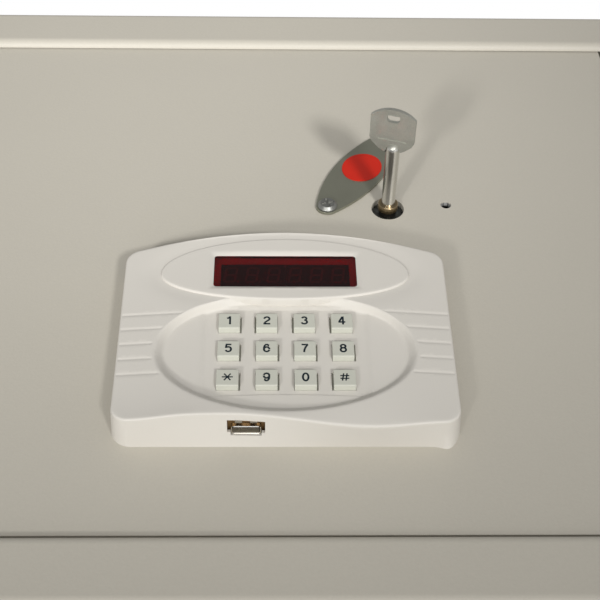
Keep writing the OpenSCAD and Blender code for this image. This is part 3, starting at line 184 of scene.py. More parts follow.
materials = {
    "shell_paint": finish("shell_paint", (0.515, 0.483, 0.412), 0.5, mottle=0.012, mottle_size=0.09,
                          grain=0.02, grain_size=0.0011, bump=0.00006, bump_size=0.0016),
    "inner_paint": finish("inner_paint", (0.42, 0.40, 0.35), 0.55, mottle=0.02, grain=0.03,
                          grain_size=0.0011, bump=0.00006, bump_size=0.0016),
    "felt": finish("felt", (0.022, 0.022, 0.025), 0.95, mottle=0.12, mottle_size=0.02, grain=0.25,
                   grain_size=0.0005, stretch=(1, 3, 1), bump=0.0003, bump_size=0.0007,
                   Sheen_Weight=0.4, Sheen_Roughness=0.5),
    "zinc_steel": finish("zinc_steel", (0.56, 0.56, 0.54), 0.36, 1.0, mottle=0.08, mottle_size=0.008,
                         grain=0.05, stretch=BRUSHED, uneven=0.1, bump=0.000008),
    "bright_steel": finish("bright_steel", (0.66, 0.65, 0.62), 0.15, 1.0, mottle=0.03, grain=0.03,
                           stretch=BRUSHED, uneven=0.06, bump=0.000003),
    "plate_steel": finish("plate_steel", (0.29, 0.29, 0.228), 0.45, 0.75, mottle=0.04, mottle_size=0.015,
                          grain=0.06, grain_size=0.0005, stretch=(1, 30, 1), turn=PLATE_TURN, uneven=0.08,
                          bump=0.000006, bump_size=0.0004),
    "key_nickel": finish("key_nickel", (0.39, 0.387, 0.34), 0.42, 0.7, mottle=0.06, mottle_size=0.004,
                         grain=0.16, grain_size=0.0004, uneven=0.1, bump=0.00004, bump_size=0.0005),
    "brass": finish("brass", (0.34, 0.26, 0.155), 0.34, 1.0, mottle=0.12, mottle_size=0.004, grain=0.06,
                    stretch=BRUSHED, uneven=0.1, bump=0.000008),
    "lock_black": finish("lock_black", (0.11, 0.11, 0.10), 0.3, 0.9, mottle=0.45, mottle_size=0.0022,
                         grain=0.1, bump=0.00012, bump_size=0.0022),
    "housing_plastic": finish("housing_plastic", (0.635, 0.604, 0.547), 0.45, mottle=0.008, mottle_size=0.05,
                              grain=0.008, grain_size=0.0005, uneven=0.04, bump=0.000012, bump_size=0.0007,
                              Specular_IOR_Level=0.25),
    "black_plastic": finish("black_plastic", (0.016, 0.016, 0.017), 0.5, mottle=0.08, grain=0.08,
                            bump=0.00002, bump_size=0.0006),
    "window_red": finish("window_red", (0.60, 0.04, 0.045), 0.05, mottle=0.01, grain=0.01, uneven=0.02,
                         bump=0.0, Transmission_Weight=1.0, IOR=1.45, Specular_IOR_Level=0.1),
    "board_green": finish("board_green", (0.012, 0.08, 0.035), 0.35, mottle=0.1, mottle_size=0.006,
                          grain=0.1, grain_size=0.0008, bump=0.00003, bump_size=0.0012),
    "rubber": finish("rubber", (0.03, 0.03, 0.032), 0.7, mottle=0.05, grain=0.05),
    "usb_metal": finish("usb_metal", (0.60, 0.56, 0.49), 0.25, 1.0, mottle=0.08, mottle_size=0.004,
                        grain=0.05, uneven=0.1, bump=0.000005),
    "white_plastic": finish("white_plastic", (0.74, 0.74, 0.72), 0.4, grain=0.02, bump=0.00001),
    "motor_grey": finish("motor_grey", (0.17, 0.17, 0.18), 0.45, 0.7, mottle=0.08, grain=0.08,
                         bump=0.00003, bump_size=0.0008),
    "standoff_brass": finish("standoff_brass", (0.50, 0.37, 0.17), 0.3, 1.0, mottle=0.06, grain=0.05,
                             bump=0.000006),
    "ribbon_grey": finish("ribbon_grey", (0.30, 0.30, 0.32), 0.45, mottle=0.03, grain=0.12,
                          grain_size=0.0008, stretch=(1, 0.02, 0.02), bump=0.0001, bump_size=0.0012),
    "cell_wrap": finish("cell_wrap", (0.03, 0.045, 0.11), 0.28, mottle=0.03, grain=0.03, bump=0.00001),
    "keycap_plastic": finish("keycap_plastic", (0.555, 0.555, 0.478), 0.40, mottle=0.01, mottle_size=0.01,
                             grain=0.012, uneven=0.05, bump=0.00001, bump_size=0.0006),
}
key_print = finish("key_print", (0.010, 0.018, 0.024), 0.5, grain=0.05, bump=0.0, Specular_IOR_Level=0.2)
segment_off = finish("segment_off", (0.075, 0.035, 0.03), 0.5, grain=0.03, bump=0.0)
badge_red = finish("badge_red", (0.56, 0.016, 0.004), 0.5, mottle=0.02, mottle_size=0.006, grain=0.02,
                   bump=0.000004, Specular_IOR_Level=0.3)
rivet_steel = finish("rivet_steel", (0.30, 0.30, 0.28), 0.45, 0.9, mottle=0.1, mottle_size=0.002, grain=0.08,
                     uneven=0.1, bump=0.00001)
surround_white = finish("surround_white", (0.62, 0.60, 0.56), 0.6, grain=0.02)
socket_brown = finish("socket_brown", (0.20, 0.12, 0.05), 0.42, 0.8, mottle=0.25, mottle_size=0.002,
                      grain=0.1, bump=0.00001)
module_black = finish("module_black", (0.006, 0.007, 0.007), 0.5, mottle=0.05, grain=0.05, bump=0.0)
# painted shade: near black for the barrel's foot, down in the lock where little light reaches
barrel_painted_shade = finish("barrel_painted_shade", (0.035, 0.03, 0.025), 0.4, 0.7, mottle=0.1, grain=0.1, bump=0.00001)

for row in frame["record"]["subparts"]:
    mesh = nodes[row["node"]].data
    mesh.materials.clear()
    mesh.materials.append(materials[row["material_slot"]])


# Pieces

def add_piece(name, mesh, body, material, stands_for=()):
    """A piece with one material that rides on a body and may stand for CAD nodes."""
    piece = bpy.data.objects.new(name, mesh)
    scene.collection.objects.link(piece)
    mesh.materials.clear()
    mesh.materials.append(material)
    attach(piece, body)
    if stands_for:
        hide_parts(*stands_for)
    return piece


def as_mesh(name, points, faces, sharp=30):
    """A smooth-shaded mesh whose edges over the given angle are sharp."""
    mesh = bpy.data.meshes.new(name)
    mesh.from_pydata(points, [], faces)
    return settled(mesh, sharp)


def settled(mesh, sharp=30):
    mesh.validate()
    mesh.update()
    mesh.shade_smooth()
    mesh.set_sharp_from_angle(angle=math.radians(sharp))
    return mesh


def with_modifier(mesh, kind, **values):
    """The mesh as a modifier leaves it."""
    holder = bpy.data.objects.new("holder", mesh)
    scene.collection.objects.link(holder)
    modifier = holder.modifiers.new("step", kind)
    for name, value in values.items():
        setattr(modifier, name, value)
    shown = holder.evaluated_get(bpy.context.evaluated_depsgraph_get())
    result = bpy.data.meshes.new_from_object(shown)
    result.name = mesh.name
    bpy.data.objects.remove(holder)
    return result


def plate_mesh(name, outline, low, high, bevel=0.0):
    """A plate with a flat outline, between two heights, with an optional small bevel."""
    bm = bmesh.new()
    face = bm.faces.new([bm.verts.new((x, y, low)) for x, y in outline])
    raised = bmesh.ops.extrude_face_region(bm, geom=[face])["geom"]
    top = [v for v in raised if isinstance(v, bmesh.types.BMVert)]
    bmesh.ops.translate(bm, vec=(0, 0, high - low), verts=top)
    bmesh.ops.recalc_face_normals(bm, faces=bm.faces)
    if bevel:
        rim = [e for e in bm.edges if all(abs(v.co.z - high) < 1e-9 for v in e.verts)]
        bmesh.ops.bevel(bm, geom=rim, offset=bevel, segments=2, affect="EDGES", profile=0.6)
    mesh = bpy.data.meshes.new(name)
    bm.to_mesh(mesh)
    bm.free()
    return settled(mesh)


def joined(name, meshes):
    """Several meshes as one."""
    bm = bmesh.new()
    for mesh in meshes:
        bm.from_mesh(mesh)
    result = bpy.data.meshes.new(name)
    bm.to_mesh(result)
    bm.free()
    return settled(result)


def moved(mesh, matrix):
    mesh.transform(matrix)
    return mesh


def soften(names, width, segments=2):
    """Rounds the sharp edges of CAD nodes as they are shown; their own meshes stay as packed."""
    for name in names:
        node = nodes[name]
        node.modifiers.new("weld", "WELD").merge_threshold = 1e-6
        bevel = node.modifiers.new("edges", "BEVEL")
        bevel.width = width
        bevel.segments = segments
        bevel.limit_method = "ANGLE"
        bevel.angle_limit = math.radians(32)
        bevel.use_clamp_overlap = True
        node.modifiers.new("normals", "WEIGHTED_NORMAL").keep_sharp = True


# Keypad housing

def wave(x):
    """The wave of the housing's front edge, -1 to 1, which dies out at the corners."""
    inside = np.maximum(0, 1 - np.power(np.abs(x) / (PAD_RX - PAD_CORNER), 4))
    return -np.sin(2 * np.pi * (x - WAVE_MID) / WAVE_LEN) * inside


def soft_step(value):
    """0 to 1 as value passes from 0 to 1, without a corner."""
    share = np.clip(value, 0, 1)
    return share * share * (3 - 2 * share)


def pad_top(x, y):
    """Height of the housing's plain top, with the swelling along its front edge."""
    swell = WAVE_RISE * wave(x) + WAVE_LEFT * soft_step((-x - 28) / 22)
    return (PAD_H - PAD_CROWN * (x / PAD_RX) ** 2 - PAD_FALL * (y + PAD_FRONT)
            + swell * np.exp(-(y + PAD_FRONT) / WAVE_REACH))


def taper(y):
    """How much wider or narrower than its middle the housing is at a given depth."""
    return 1 + PAD_TAPER / PAD_RX * (y - PAD_MID_Y) / (PAD_REAR + PAD_FRONT)


def grown(x, y, rx, ry):
    """How far an ellipse has to grow on both half axes to pass through a point."""
    t = np.hypot(x, y) - np.minimum(rx, ry)
    for _ in range(12):
        a, b = np.maximum(rx + t, 1.0), np.maximum(ry + t, 1.0)
        miss = (x / a) ** 2 + (y / b) ** 2 - 1
        slope = -2 * x ** 2 / a ** 3 - 2 * y ** 2 / b ** 3
        t = t - np.clip(miss / np.minimum(slope, -1e-6), -8, 8)
        t = np.maximum(t, 2.0 - np.minimum(rx, ry))
    return t


def blend_low(a, b, r):
    """The lower of two heights, with the corner between them rounded."""
    mix = np.clip(0.5 + (b - a) / (2 * r), 0, 1)
    return b + (a - b) * mix - r * mix * (1 - mix)


def blend_high(a, b, r):
    """The higher of two heights, with the corner between them rounded."""
    return -blend_low(-a, -b, r)


def step(value, width):
    """0 to 1 as value passes from -width to width."""
    return soft_step(0.5 + value / (2 * width))


def bowl_loop(share, count=300):
    """A level line of the bowl's wall: 0 is its foot, with a squarer rear half, and 1 is its oval rim."""
    a = 2 * np.pi * np.arange(count) / count
    c, s = np.cos(a), np.sin(a)
    square_c = np.sign(c) * np.abs(c) ** (2 / BOWL_POWER)
    square_s = np.sign(s) * np.abs(s) ** (2 / BOWL_POWER)
    foot = np.where(s > 0, ((BOWL_RX * square_c), (BOWL_RY + 0.5) * square_s), (BOWL_RX * c, BOWL_RY * s))
    grow = BOWL_SLOPE * (PAD_H - BOWL_FLOOR)
    rim = np.array(((BOWL_RX + grow) * c, (BOWL_RY + grow) * s))
    line = foot + (rim - foot) * share
    return [(x, y + BOWL_Y) for x, y in line.T]


BOWL_SHARES = np.linspace(-1.0, 3.0, 81)
BOWL_TURNS = np.linspace(-math.pi, math.pi, 721)
BOWL_REACH = []
for level in BOWL_SHARES:
    ring = np.array(bowl_loop(level, 1440)) - (0, BOWL_Y)
    turns = np.arctan2(ring[:, 1], ring[:, 0])
    order = np.argsort(turns)
    BOWL_REACH.append(np.interp(BOWL_TURNS, turns[order], np.hypot(*ring[order].T), period=2 * math.pi))
BOWL_REACH = np.array(BOWL_REACH)


def bowl_share(x, y):
    """Which level line of the bowl's wall passes through each point."""
    turn = np.arctan2(y - BOWL_Y, x)
    reach = np.hypot(x, y - BOWL_Y)
    at = (turn + math.pi) / (2 * math.pi) * (len(BOWL_TURNS) - 1)
    low = np.clip(at.astype(int), 0, len(BOWL_TURNS) - 2)
    radii = BOWL_REACH[:, low] + (BOWL_REACH[:, low + 1] - BOWL_REACH[:, low]) * (at - low)
    above = np.clip(np.sum(radii < reach, axis=0), 1, len(BOWL_SHARES) - 1)
    pick = np.arange(len(reach))
    near, far = radii[above - 1, pick], radii[above, pick]
    part = (reach - near) / (far - near)
    return BOWL_SHARES[above - 1] + (BOWL_SHARES[1] - BOWL_SHARES[0]) * part


def panel_share(x, y):
    """0 outside the key panel, and 1 where it has its full depth."""
    arch = np.hypot(x, y - (PANEL_FRONT - PANEL_ARC_R)) - PANEL_ARC_R
    sides = (PANEL_RX + PANEL_RAMP - np.abs(x)) / (2 * PANEL_RAMP)
    sides = np.minimum(sides, (PANEL_REAR - y) / PANEL_REAR_RAMP)
    return np.clip(np.minimum(sides, arch / PANEL_FRONT_RAMP), 0, 1)


def island_top(x, y):
    """Height of the display island, which falls to the rear and is crowned from side to side."""
    return (PAD_H - ISLAND_DROP - ISLAND_FALL * (y - ISLAND_Y + ISLAND_FRONT)
            - ISLAND_CROWN * (x / ISLAND_RX) ** 2)


def island_ring(t, count):
    """The island's outline grown by t; its rear half is deeper than its front half."""
    ring = []
    for i in range(count):
        a = 2 * math.pi * i / count
        depth = ISLAND_REAR if math.sin(a) > 0 else ISLAND_FRONT
        ring.append(((ISLAND_RX + t) * math.cos(a), ISLAND_Y + (depth + t) * math.sin(a)))
    return ring


def groove_shift(x):
    """How far the side grooves lean forward towards the sides; the right ones lie further back."""
    lean = GROOVE_LEAN * np.clip((np.abs(x) - GROOVE_FROM) / (PAD_RX - GROOVE_FROM), 0, 1)
    return lean - np.where(np.asarray(x) > 0, GROOVE_SKEW, 0)


def frame_share(x, y):
    """0 outside the window's sloping frame, and 1 at its inner edge."""
    across = (WINDOW_W / 2 + WINDOW_FRAME - np.abs(x)) / WINDOW_FRAME
    along = (WINDOW_D / 2 + WINDOW_FRAME - np.abs(y - WINDOW_Y)) / WINDOW_FRAME
    return np.clip(np.minimum(across, along), 0, 1)


def housing_height(x, y):
    """Height of the housing's skin over the lid."""
    island_t = grown(x, y - ISLAND_Y, ISLAND_RX, np.where(y > ISLAND_Y, ISLAND_REAR, ISLAND_FRONT))
    top = pad_top(x, y) - ISLAND_MOAT * np.exp(-(np.maximum(island_t, 0) / ISLAND_MOAT_W) ** 2)
    share = bowl_share(x, y)
    nearest = np.min([np.abs(y + groove_shift(x) - groove) for groove in GROOVES], axis=0)
    groove = GROOVE_DEPTH * np.clip(1 - nearest / (GROOVE_W / 2), 0, 1)
    top = top - groove * step(share - 0.98, 0.12)
    base = BOWL_FLOOR - PANEL_DROP * panel_share(x, y)
    wall = blend_high(base, BOWL_FLOOR + (PAD_H - BOWL_FLOOR) * share, BOWL_FOOT_R)
    skin = blend_low(top, wall, BOWL_RIM_R)
    edge_r = np.interp(y, ISLAND_EDGE_Y, ISLAND_EDGE_R)
    over = np.clip(1 + island_t / edge_r, 0, 0.995)
    raised = island_top(x, y) - edge_r * (1 - np.sqrt(1 - over * over))
    skin = skin + (raised - skin) * step(-island_t - 0.08, 0.08)
    return skin + (WINDOW_LEVEL - skin) * frame_share(x, y)


def evenly(stops, gap):
    """Values from stop to stop, at most gap apart, without the last one."""
    values = []
    for a, b in zip(stops, stops[1:]):
        count = max(1, math.ceil(abs(b - a) / gap))
        values += [a + (b - a) * i / count for i in range(count)]
    return values


def arc(cx, cy, r, start, end, count):
    """Points along part of a circle, by its angles in degrees."""
    return [(cx + r * math.cos(math.radians(start + (end - start) * i / count)),
             cy + r * math.sin(math.radians(start + (end - start) * i / count))) for i in range(count + 1)]


def pad_outline(g, share):
    """The housing's outline, grown by g, with a share of the front wave. Every call gives as many points."""
    cx, cy = PAD_RX - PAD_CORNER, PAD_CORNER - PAD_FRONT
    rear_y = PAD_REAR - PAD_SAG - 5.5
    r = PAD_CORNER + g
    halves = (-USB_CUT_W / 2, -USB_W / 2, USB_W / 2, USB_CUT_W / 2)
    usb = [(USB_X + half) / taper(-PAD_FRONT) for half in halves]
    front = [(x, -PAD_FRONT - g + share * WAVE_PUSH * float(wave(np.array(x))))
             for x in evenly([-cx, *usb, cx], LINE_GAP)[1:]]
    marks = [y - GROOVE_LEAN + skew + k * GROOVE_W / 2
             for y in GROOVES for skew in (0, GROOVE_SKEW) for k in (-1, -0.3, 0, 0.3, 1)]
    stops = sorted({cy, rear_y, *marks})
    side = evenly(stops, SIDE_GAP)[1:]
    rear = [(x, PAD_REAR - PAD_SAG * (x / PAD_RX) ** 2 + g) for x in evenly([cx - 4, 4 - cx], SIDE_GAP)]
    plain = (front + arc(cx, cy, r, -90, 0, 12) + [(PAD_RX + g, y) for y in side]
             + arc(cx, rear_y, r, 0, 75, 10) + rear + arc(-cx, rear_y, r, 105, 180, 10)
             + [(-PAD_RX - g, y) for y in reversed(side)] + arc(-cx, cy, r, 180, 270, 12))
    return [(x * taper(y), y) for x, y in plain]


def ellipse(cx, cy, rx, ry, count):
    return [(cx + rx * math.cos(2 * math.pi * i / count), cy + ry * math.sin(2 * math.pi * i / count))
            for i in range(count)]


def rectangle(x0, y0, x1, y1, r=0.0):
    """The outline of a rectangle, with rounded corners if it has a radius."""
    if r <= 0:
        return [(x0, y0), (x1, y0), (x1, y1), (x0, y1)]
    corners = ((x1 - r, y0 + r, -90), (x1 - r, y1 - r, 0), (x0 + r, y1 - r, 90), (x0 + r, y0 + r, 180))
    return [p for x, y, turn in corners for p in arc(x, y, r, turn, turn + 90, 5)]


def key_place(column, line):
    """The middle of a key's foot."""
    return (column - 1.5) * KEY_PITCH, (1 - line) * KEY_PITCH


def housing_holes():
    """Every opening in the housing's top, as an outline."""
    holes = []
    for line in range(3):
        for column in range(4):
            x, y = key_place(column, line)
            side = SLOT_SIDES[line][column]
            left, right = (CAP_GAP, SLOT_GAP) if side > 0 else (SLOT_GAP, CAP_GAP)
            holes.append(rectangle(x - CAP_W / 2 - left, y - CAP_GAP,
                                   x + CAP_W / 2 + right, y + CAP_D + CAP_GAP))
    holes.append(rectangle(-WINDOW_W / 2, WINDOW_Y - WINDOW_D / 2,
                           WINDOW_W / 2, WINDOW_Y + WINDOW_D / 2, WINDOW_R))
    return holes


def inside(points, outline):
    """Which points lie inside an outline."""
    x, y = points[:, 0][:, None], points[:, 1][:, None]
    a = np.array(outline)
    b = np.roll(a, -1, axis=0)
    crosses = (a[:, 1] > y) != (b[:, 1] > y)
    rise = np.where(b[:, 1] == a[:, 1], 1e-9, b[:, 1] - a[:, 1])
    at = a[:, 0] + (y - a[:, 1]) / rise * (b[:, 0] - a[:, 0])
    return (np.sum(crosses & (x < at), axis=1) % 2) == 1


def divided(outline, gap):
    """A closed outline with extra points, so that none are further apart than gap."""
    points = []
    for (x0, y0), (x1, y1) in zip(outline, outline[1:] + outline[:1]):
        count = max(1, math.ceil(math.hypot(x1 - x0, y1 - y0) / gap))
        points += [(x0 + (x1 - x0) * i / count, y0 + (y1 - y0) * i / count) for i in range(count)]
    return points


def feature_lines():
    """Lines along which the housing's skin bends: closed loops, then open runs."""
    loops = [bowl_loop(t) for t in (-0.25, -0.1, 0.0, 0.1, 0.25, 0.5, 0.75, 0.88, 1.0, 1.12, 1.28)]
    loops += [island_ring(t, 280) for t in (-1.1, -0.75, -0.45, -0.16, 0.0)]
    for grow in (WINDOW_FRAME, 0.5 * WINDOW_FRAME):
        w, d = WINDOW_W / 2 + grow, WINDOW_D / 2 + grow
        loops.append(divided(rectangle(-w, WINDOW_Y - d, w, WINDOW_Y + d), LINE_GAP))
    runs = []
    for groove in GROOVES:
        for k in (-1, -0.5, 0, 0.5, 1):
            for side in (-1, 1):
                y = groove + k * GROOVE_W / 2
                part = (y - BOWL_Y) / (BOWL_RY + GROOVE_CLEAR)
                start = side * (BOWL_RX + GROOVE_CLEAR) * math.sqrt(max(0, 1 - part ** 2))
                end = side * (PAD_RX * taper(y) - PAD_EDGE - 0.05)
                run = [start + (end - start) * i / 14 for i in range(15)]
                runs.append([(x, y - float(groove_shift(x))) for x in run])
    within = bowl_loop(0.0)
    for x, rear, inset in ((PANEL_RX + PANEL_RAMP, PANEL_REAR, 0.0),
                           (PANEL_RX - PANEL_RAMP, PANEL_REAR - PANEL_REAR_RAMP, PANEL_FRONT_RAMP)):
        r = PANEL_ARC_R + inset
        lean = math.degrees(math.asin(x / r))
        front = arc(0, PANEL_FRONT - PANEL_ARC_R, r, 90 - lean, 90 + lean, 60)
        panel = divided([(-x, rear), *reversed(front), (x, rear)], LINE_GAP)
        keep = inside(np.array(panel), within)
        ends = zip(panel, panel[1:] + panel[:1], keep, np.roll(keep, -1))
        runs += [[a, b] for a, b, one, two in ends if one and two]
    return loops, runs


def top_sheet():
    """The housing's top inside its rounded edge: points, triangles, and how many points lie on the rim."""
    rim = pad_outline(-PAD_EDGE, 1)
    points, edges = list(rim), [(i, (i + 1) % len(rim)) for i in range(len(rim))]

    def line(run, closed):
        first = len(points)
        points.extend(run)
        edges.extend((first + i, first + i + 1) for i in range(len(run) - 1))
        if closed:
            edges.append((first + len(run) - 1, first))

    holes = housing_holes()
    for hole in holes:
        line(divided(hole, LINE_GAP), True)
    rim_test = pad_outline(-PAD_EDGE - RIM_CLEAR, 1)
    loops, runs = feature_lines()
    for loop in loops:
        keep = inside(np.array(loop), rim_test)
        if keep.all():
            line(loop, True)
        else:
            points.extend(p for p, good in zip(loop, keep) if good)
    for run in runs:
        line(run, False)
    near = kdtree.KDTree(len(points))
    for i, (x, y) in enumerate(points):
        near.insert((x, y, 0), i)
    near.balance()
    rows = np.arange(-PAD_FRONT - 3, PAD_REAR + 3, CLOUD_GAP * math.sqrt(3) / 2)
    cloud = np.array([(x + (CLOUD_GAP / 2 if j % 2 else 0), y) for j, y in enumerate(rows)
                      for x in np.arange(-PAD_RX, PAD_RX, CLOUD_GAP)])
    cloud = cloud[inside(cloud, rim_test)]
    points.extend((x, y) for x, y in cloud if near.find((x, y, 0))[2] > CLOUD_CLEAR)
    result = delaunay_2d_cdt([Vector(p) for p in points], edges, [], 0, 1e-5)
    flat = np.array([(p.x, p.y) for p in result[0]])
    middles = np.array([flat[list(f)].mean(axis=0) for f in result[2]])
    good = inside(middles, rim)
    for hole in holes:
        good &= ~inside(middles, hole)
    faces = [tuple(f) for f, keep in zip(result[2], good) if keep]
    origin = {}
    for index, sources in enumerate(result[3]):
        for source in sources:
            origin[source] = index
    return flat, faces, [origin[i] for i in range(len(rim))]


def housing_mesh():
    """The moulded housing: its relief, rounded edge and drafted walls, as a shell with a real thickness."""
    flat, faces, rim = top_sheet()
    points = [(x, y, z) for (x, y), z in zip(flat, housing_height(flat[:, 0], flat[:, 1]))]
    count = len(rim)
    rings = []
    for turn in (70, 50, 30, 12, 0):
        outline = pad_outline(-PAD_EDGE * (1 - math.cos(math.radians(turn))), 1)
        xy = np.array(outline)
        pulled = xy * (1 - 2.5 / PAD_RX)
        height = np.minimum(pad_top(xy[:, 0], xy[:, 1]) - PAD_EDGE * (1 - math.sin(math.radians(turn))),
                            housing_height(pulled[:, 0], xy[:, 1]) + 0.15)
        rings.append([(x, y, z) for (x, y), z in zip(outline, height)])
    crest, foot = rings[-1], pad_outline(PAD_DRAFT, 0)
    for level, share in ((USB_HIGH, 0.85), (USB_STEP, 0.55), (USB_LOW, 0.42), (1.2, 0.08), (0.02, 0.0)):
        ring = []
        for (x0, y0), (x1, y1, z1) in zip(foot, crest):
            z = min(level, share * z1) if share else level
            part = z / z1
            corner = math.exp(-((x0 - FLARE_X) / FLARE_W) ** 2 - ((y0 - FLARE_Y) / FLARE_W) ** 2)
            flare = FLARE * corner * (1 - part) ** 4
            ring.append((x0 + (x1 - x0) * part, y0 + (y1 - y0) * part - flare, z))
        rings.append(ring)
    lines = [rim]
    for ring in rings:
        lines.append(list(range(len(points), len(points) + count)))
        points.extend(ring)
    cuts = {6: USB_CUT_W / 2, 7: USB_W / 2}
    for depth, (upper, lower) in enumerate(zip(lines, lines[1:])):
        for i in range(count):
            j = (i + 1) % count
            middle = (points[lower[i]][0] + points[lower[j]][0]) / 2
            if abs(middle - USB_X) < cuts.get(depth, 0) and points[lower[i]][1] < 0:
                continue
            faces.append((upper[i], lower[i], lower[j], upper[j]))
    sheet = bpy.data.meshes.new("keypad_shell")
    sheet.from_pydata([on_pad(*p) for p in points], [], faces)
    bm = bmesh.new()
    bm.from_mesh(sheet)
    bmesh.ops.recalc_face_normals(bm, faces=bm.faces)
    if sum(f.normal.z for f in bm.faces) < 0:
        bmesh.ops.reverse_faces(bm, faces=bm.faces)
    bm.to_mesh(sheet)
    bm.free()
    thick = with_modifier(sheet, "SOLIDIFY", thickness=SHELL_T * MM, offset=-1, use_rim=True)
    return settled(thick, 38)


add_piece("keypad_shell", housing_mesh(), "lid", materials["housing_plastic"],
          ("keypad_housing",))


# Digits, display, socket and badge

def bow(cx, cy, rx, ry, start, end, count=24):
    """Points along part of an ellipse, by its angles in degrees."""
    turns = [math.radians(start + (end - start) * i / count) for i in range(count + 1)]
    return [(cx + rx * math.cos(t), cy + ry * math.sin(t)) for t in turns]


def ribbon(points, width, closed=False):
    """The two sides of a stroke that follows a run of points."""
    run = [Vector(p) for p in points]
    left, right = [], []
    for i, here in enumerate(run):
        before = run[i - 1] if i or closed else here
        after = run[(i + 1) % len(run)] if i + 1 < len(run) or closed else here
        ways = [(here - before), (after - here)]
        ways = [way.normalized() for way in ways if way.length > 1e-9]
        along = sum(ways, Vector((0, 0))).normalized()
        reach = width / 2 / max(0.35, along.dot(ways[0]))
        across = Vector((-along.y, along.x)) * reach
        left.append(tuple(here + across))
        right.append(tuple(here - across))
    return left, right


def stroke_mesh(points, width, level, closed=False):
    """A stroke as a thin plate, a little above the ones drawn before it."""
    left, right = ribbon(points, width, closed)
    n = len(points)
    solid = [(x, y, z) for z in (level, INK + level) for side in (left, right) for x, y in side]
    faces = []
    for i in range(n if closed else n - 1):
        j = (i + 1) % n
        faces += [(2 * n + i, 2 * n + j, 3 * n + j, 3 * n + i), (i, n + i, n + j, j),
                  (i, j, 2 * n + j, 2 * n + i), (n + j, n + i, 3 * n + i, 3 * n + j)]
    if not closed:
        faces += [(0, 2 * n, 3 * n, n), (n - 1, 2 * n - 1, 4 * n - 1, 3 * n - 1)]
    bm = bmesh.new()
    corners = [bm.verts.new(p) for p in solid]
    for face in faces:
        bm.faces.new([corners[i] for i in face])
    bmesh.ops.recalc_face_normals(bm, faces=bm.faces)
    mesh = bpy.data.meshes.new("stroke")
    bm.to_mesh(mesh)
    bm.free()
    return mesh


SIX = [[(0.98, 1.35), *bow(0.02, 0.6, 0.98, 1.53, 30, 90, 8), *bow(0.02, 0.0, 1.2, 2.13, 90, 200, 20)],
       bow(0.0, -0.77, 1.2, 1.36, 0, 345, 46)]
STROKES = {
    "0": ([bow(0, 0, 1.2, 2.13, 0, 352.5, 47)], True),
    "1": ([[(0.35, 2.5), (0.35, -2.5)], [(0.35, 2.35), (-0.15, 1.55), (-1.05, 1.25)]], False),
    "2": ([[*bow(0.0, 0.95, 1.17, 1.18, 175, -28, 22), (-0.6, -1.05), (-1.05, -1.75), (-1.17, -2.13)],
           [(-1.55, -2.13), (1.55, -2.13)]], False),
    "3": ([bow(-0.05, 1.12, 1.02, 1.01, 165, -90, 24), bow(-0.05, -0.94, 1.22, 1.19, 90, -165, 26)], False),
    "4": ([[(0.5, 2.5), (0.5, -2.5)], [(0.3, 2.3), (-1.25, -0.75)], [(-1.6, -0.95), (1.55, -0.95)]], False),
    "5": ([[(1.3, 2.13), (-0.82, 2.13), (-1.12, 0.05)], bow(-0.02, -0.72, 1.22, 1.41, 128, -158, 30)], False),
    "6": (SIX, False),
    "7": ([[(-1.5, 2.13), (1.4, 2.13)], [(1.2, 2.1), (0.3, 0.6), (-0.25, -1.0), (-0.4, -2.5)]], False),
    "8": ([bow(0, 1.14, 1.04, 0.99, 0, 352.5, 47), bow(0, -0.95, 1.2, 1.18, 0, 352.5, 47)], True),
    "9": ([[(-x, -y) for x, y in run] for run in SIX], False),
    "star": ([[(-2.4, 0), (2.4, 0)], [(-1.4, -1.9), (1.4, 1.9)], [(-1.4, 1.9), (1.4, -1.9)]], False),
    "hash": ([[(x - 0.32, -2.1), (x + 0.32, 2.1)] for x in (-0.75, 0.75)]
             + [[(-1.95, y), (1.95, y)] for y in (-0.78, 0.78)], False),
}


def digit_mesh(key):
    """A key's printed sign, in millimetres round its middle."""
    runs, closed = STROKES[key]
    width = SIGN_STROKE if key in ("star", "hash") else DIGIT_STROKE
    return joined("digit", [stroke_mesh(run, width, 0.001 * i, closed) for i, run in enumerate(runs)])


for line_at, names in enumerate(KEYS):
    for column_at, key in enumerate(names):
        x, y = key_place(column_at, line_at)
        tilt = Matrix.Rotation(-CAP_FALL / CAP_RUN, 4, "X")
        spot = on_pad(x, y + DIGIT_Y, CAP_TOP - DIGIT_SINK)
        place = Matrix.Translation(spot) @ Matrix.Scale(MM, 4) @ tilt
        add_piece("digit_" + key, moved(digit_mesh(key), place), "button_" + key, key_print)

MODULE_LOW, MODULE_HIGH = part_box("display_modules")


def segment(x0, y0, x1, y1):
    """One pointed bar of a numeral."""
    run = Vector((x1 - x0, y1 - y0))
    along = run.normalized() * SEGMENT_T / 2
    across = Vector((-along.y, along.x))
    a, b = Vector((x0, y0)) + along * 0.25, Vector((x1, y1)) - along * 0.25
    outline = [a, a + along + across, b - along + across, b, b - along - across, a + along - across]
    return [(p.x + SLANT * p.y, p.y) for p in outline]


def numeral_outlines():
    """The seven bars of a numeral and its dot."""
    w, h = SEGMENT_W / 2, SEGMENT_H / 2
    bars = [(-w, y, w, y) for y in (h, 0, -h)] + [(x, y, x, y + h) for y in (0, -h) for x in (-w, w)]
    dot = ellipse(w + 1.6 - SLANT * h, -h, 0.6, 0.6, 12)
    return [segment(*b) for b in bars] + [dot]


module_y = (MODULE_LOW.y + MODULE_HIGH.y) / 2
numerals = []
for place_at in range(6):
    shift = (place_at - 2.5) * SEGMENT_PITCH - SEGMENT_SHIFT
    place = Matrix.Translation((shift * MM, module_y, MODULE_HIGH.z)) @ Matrix.Scale(MM, 4)
    for outline in numeral_outlines():
        numerals.append(moved(plate_mesh("segment", outline, 0, SEGMENT_INK), place))
add_piece("display_segments", joined("display_segments", numerals), "lid", segment_off)


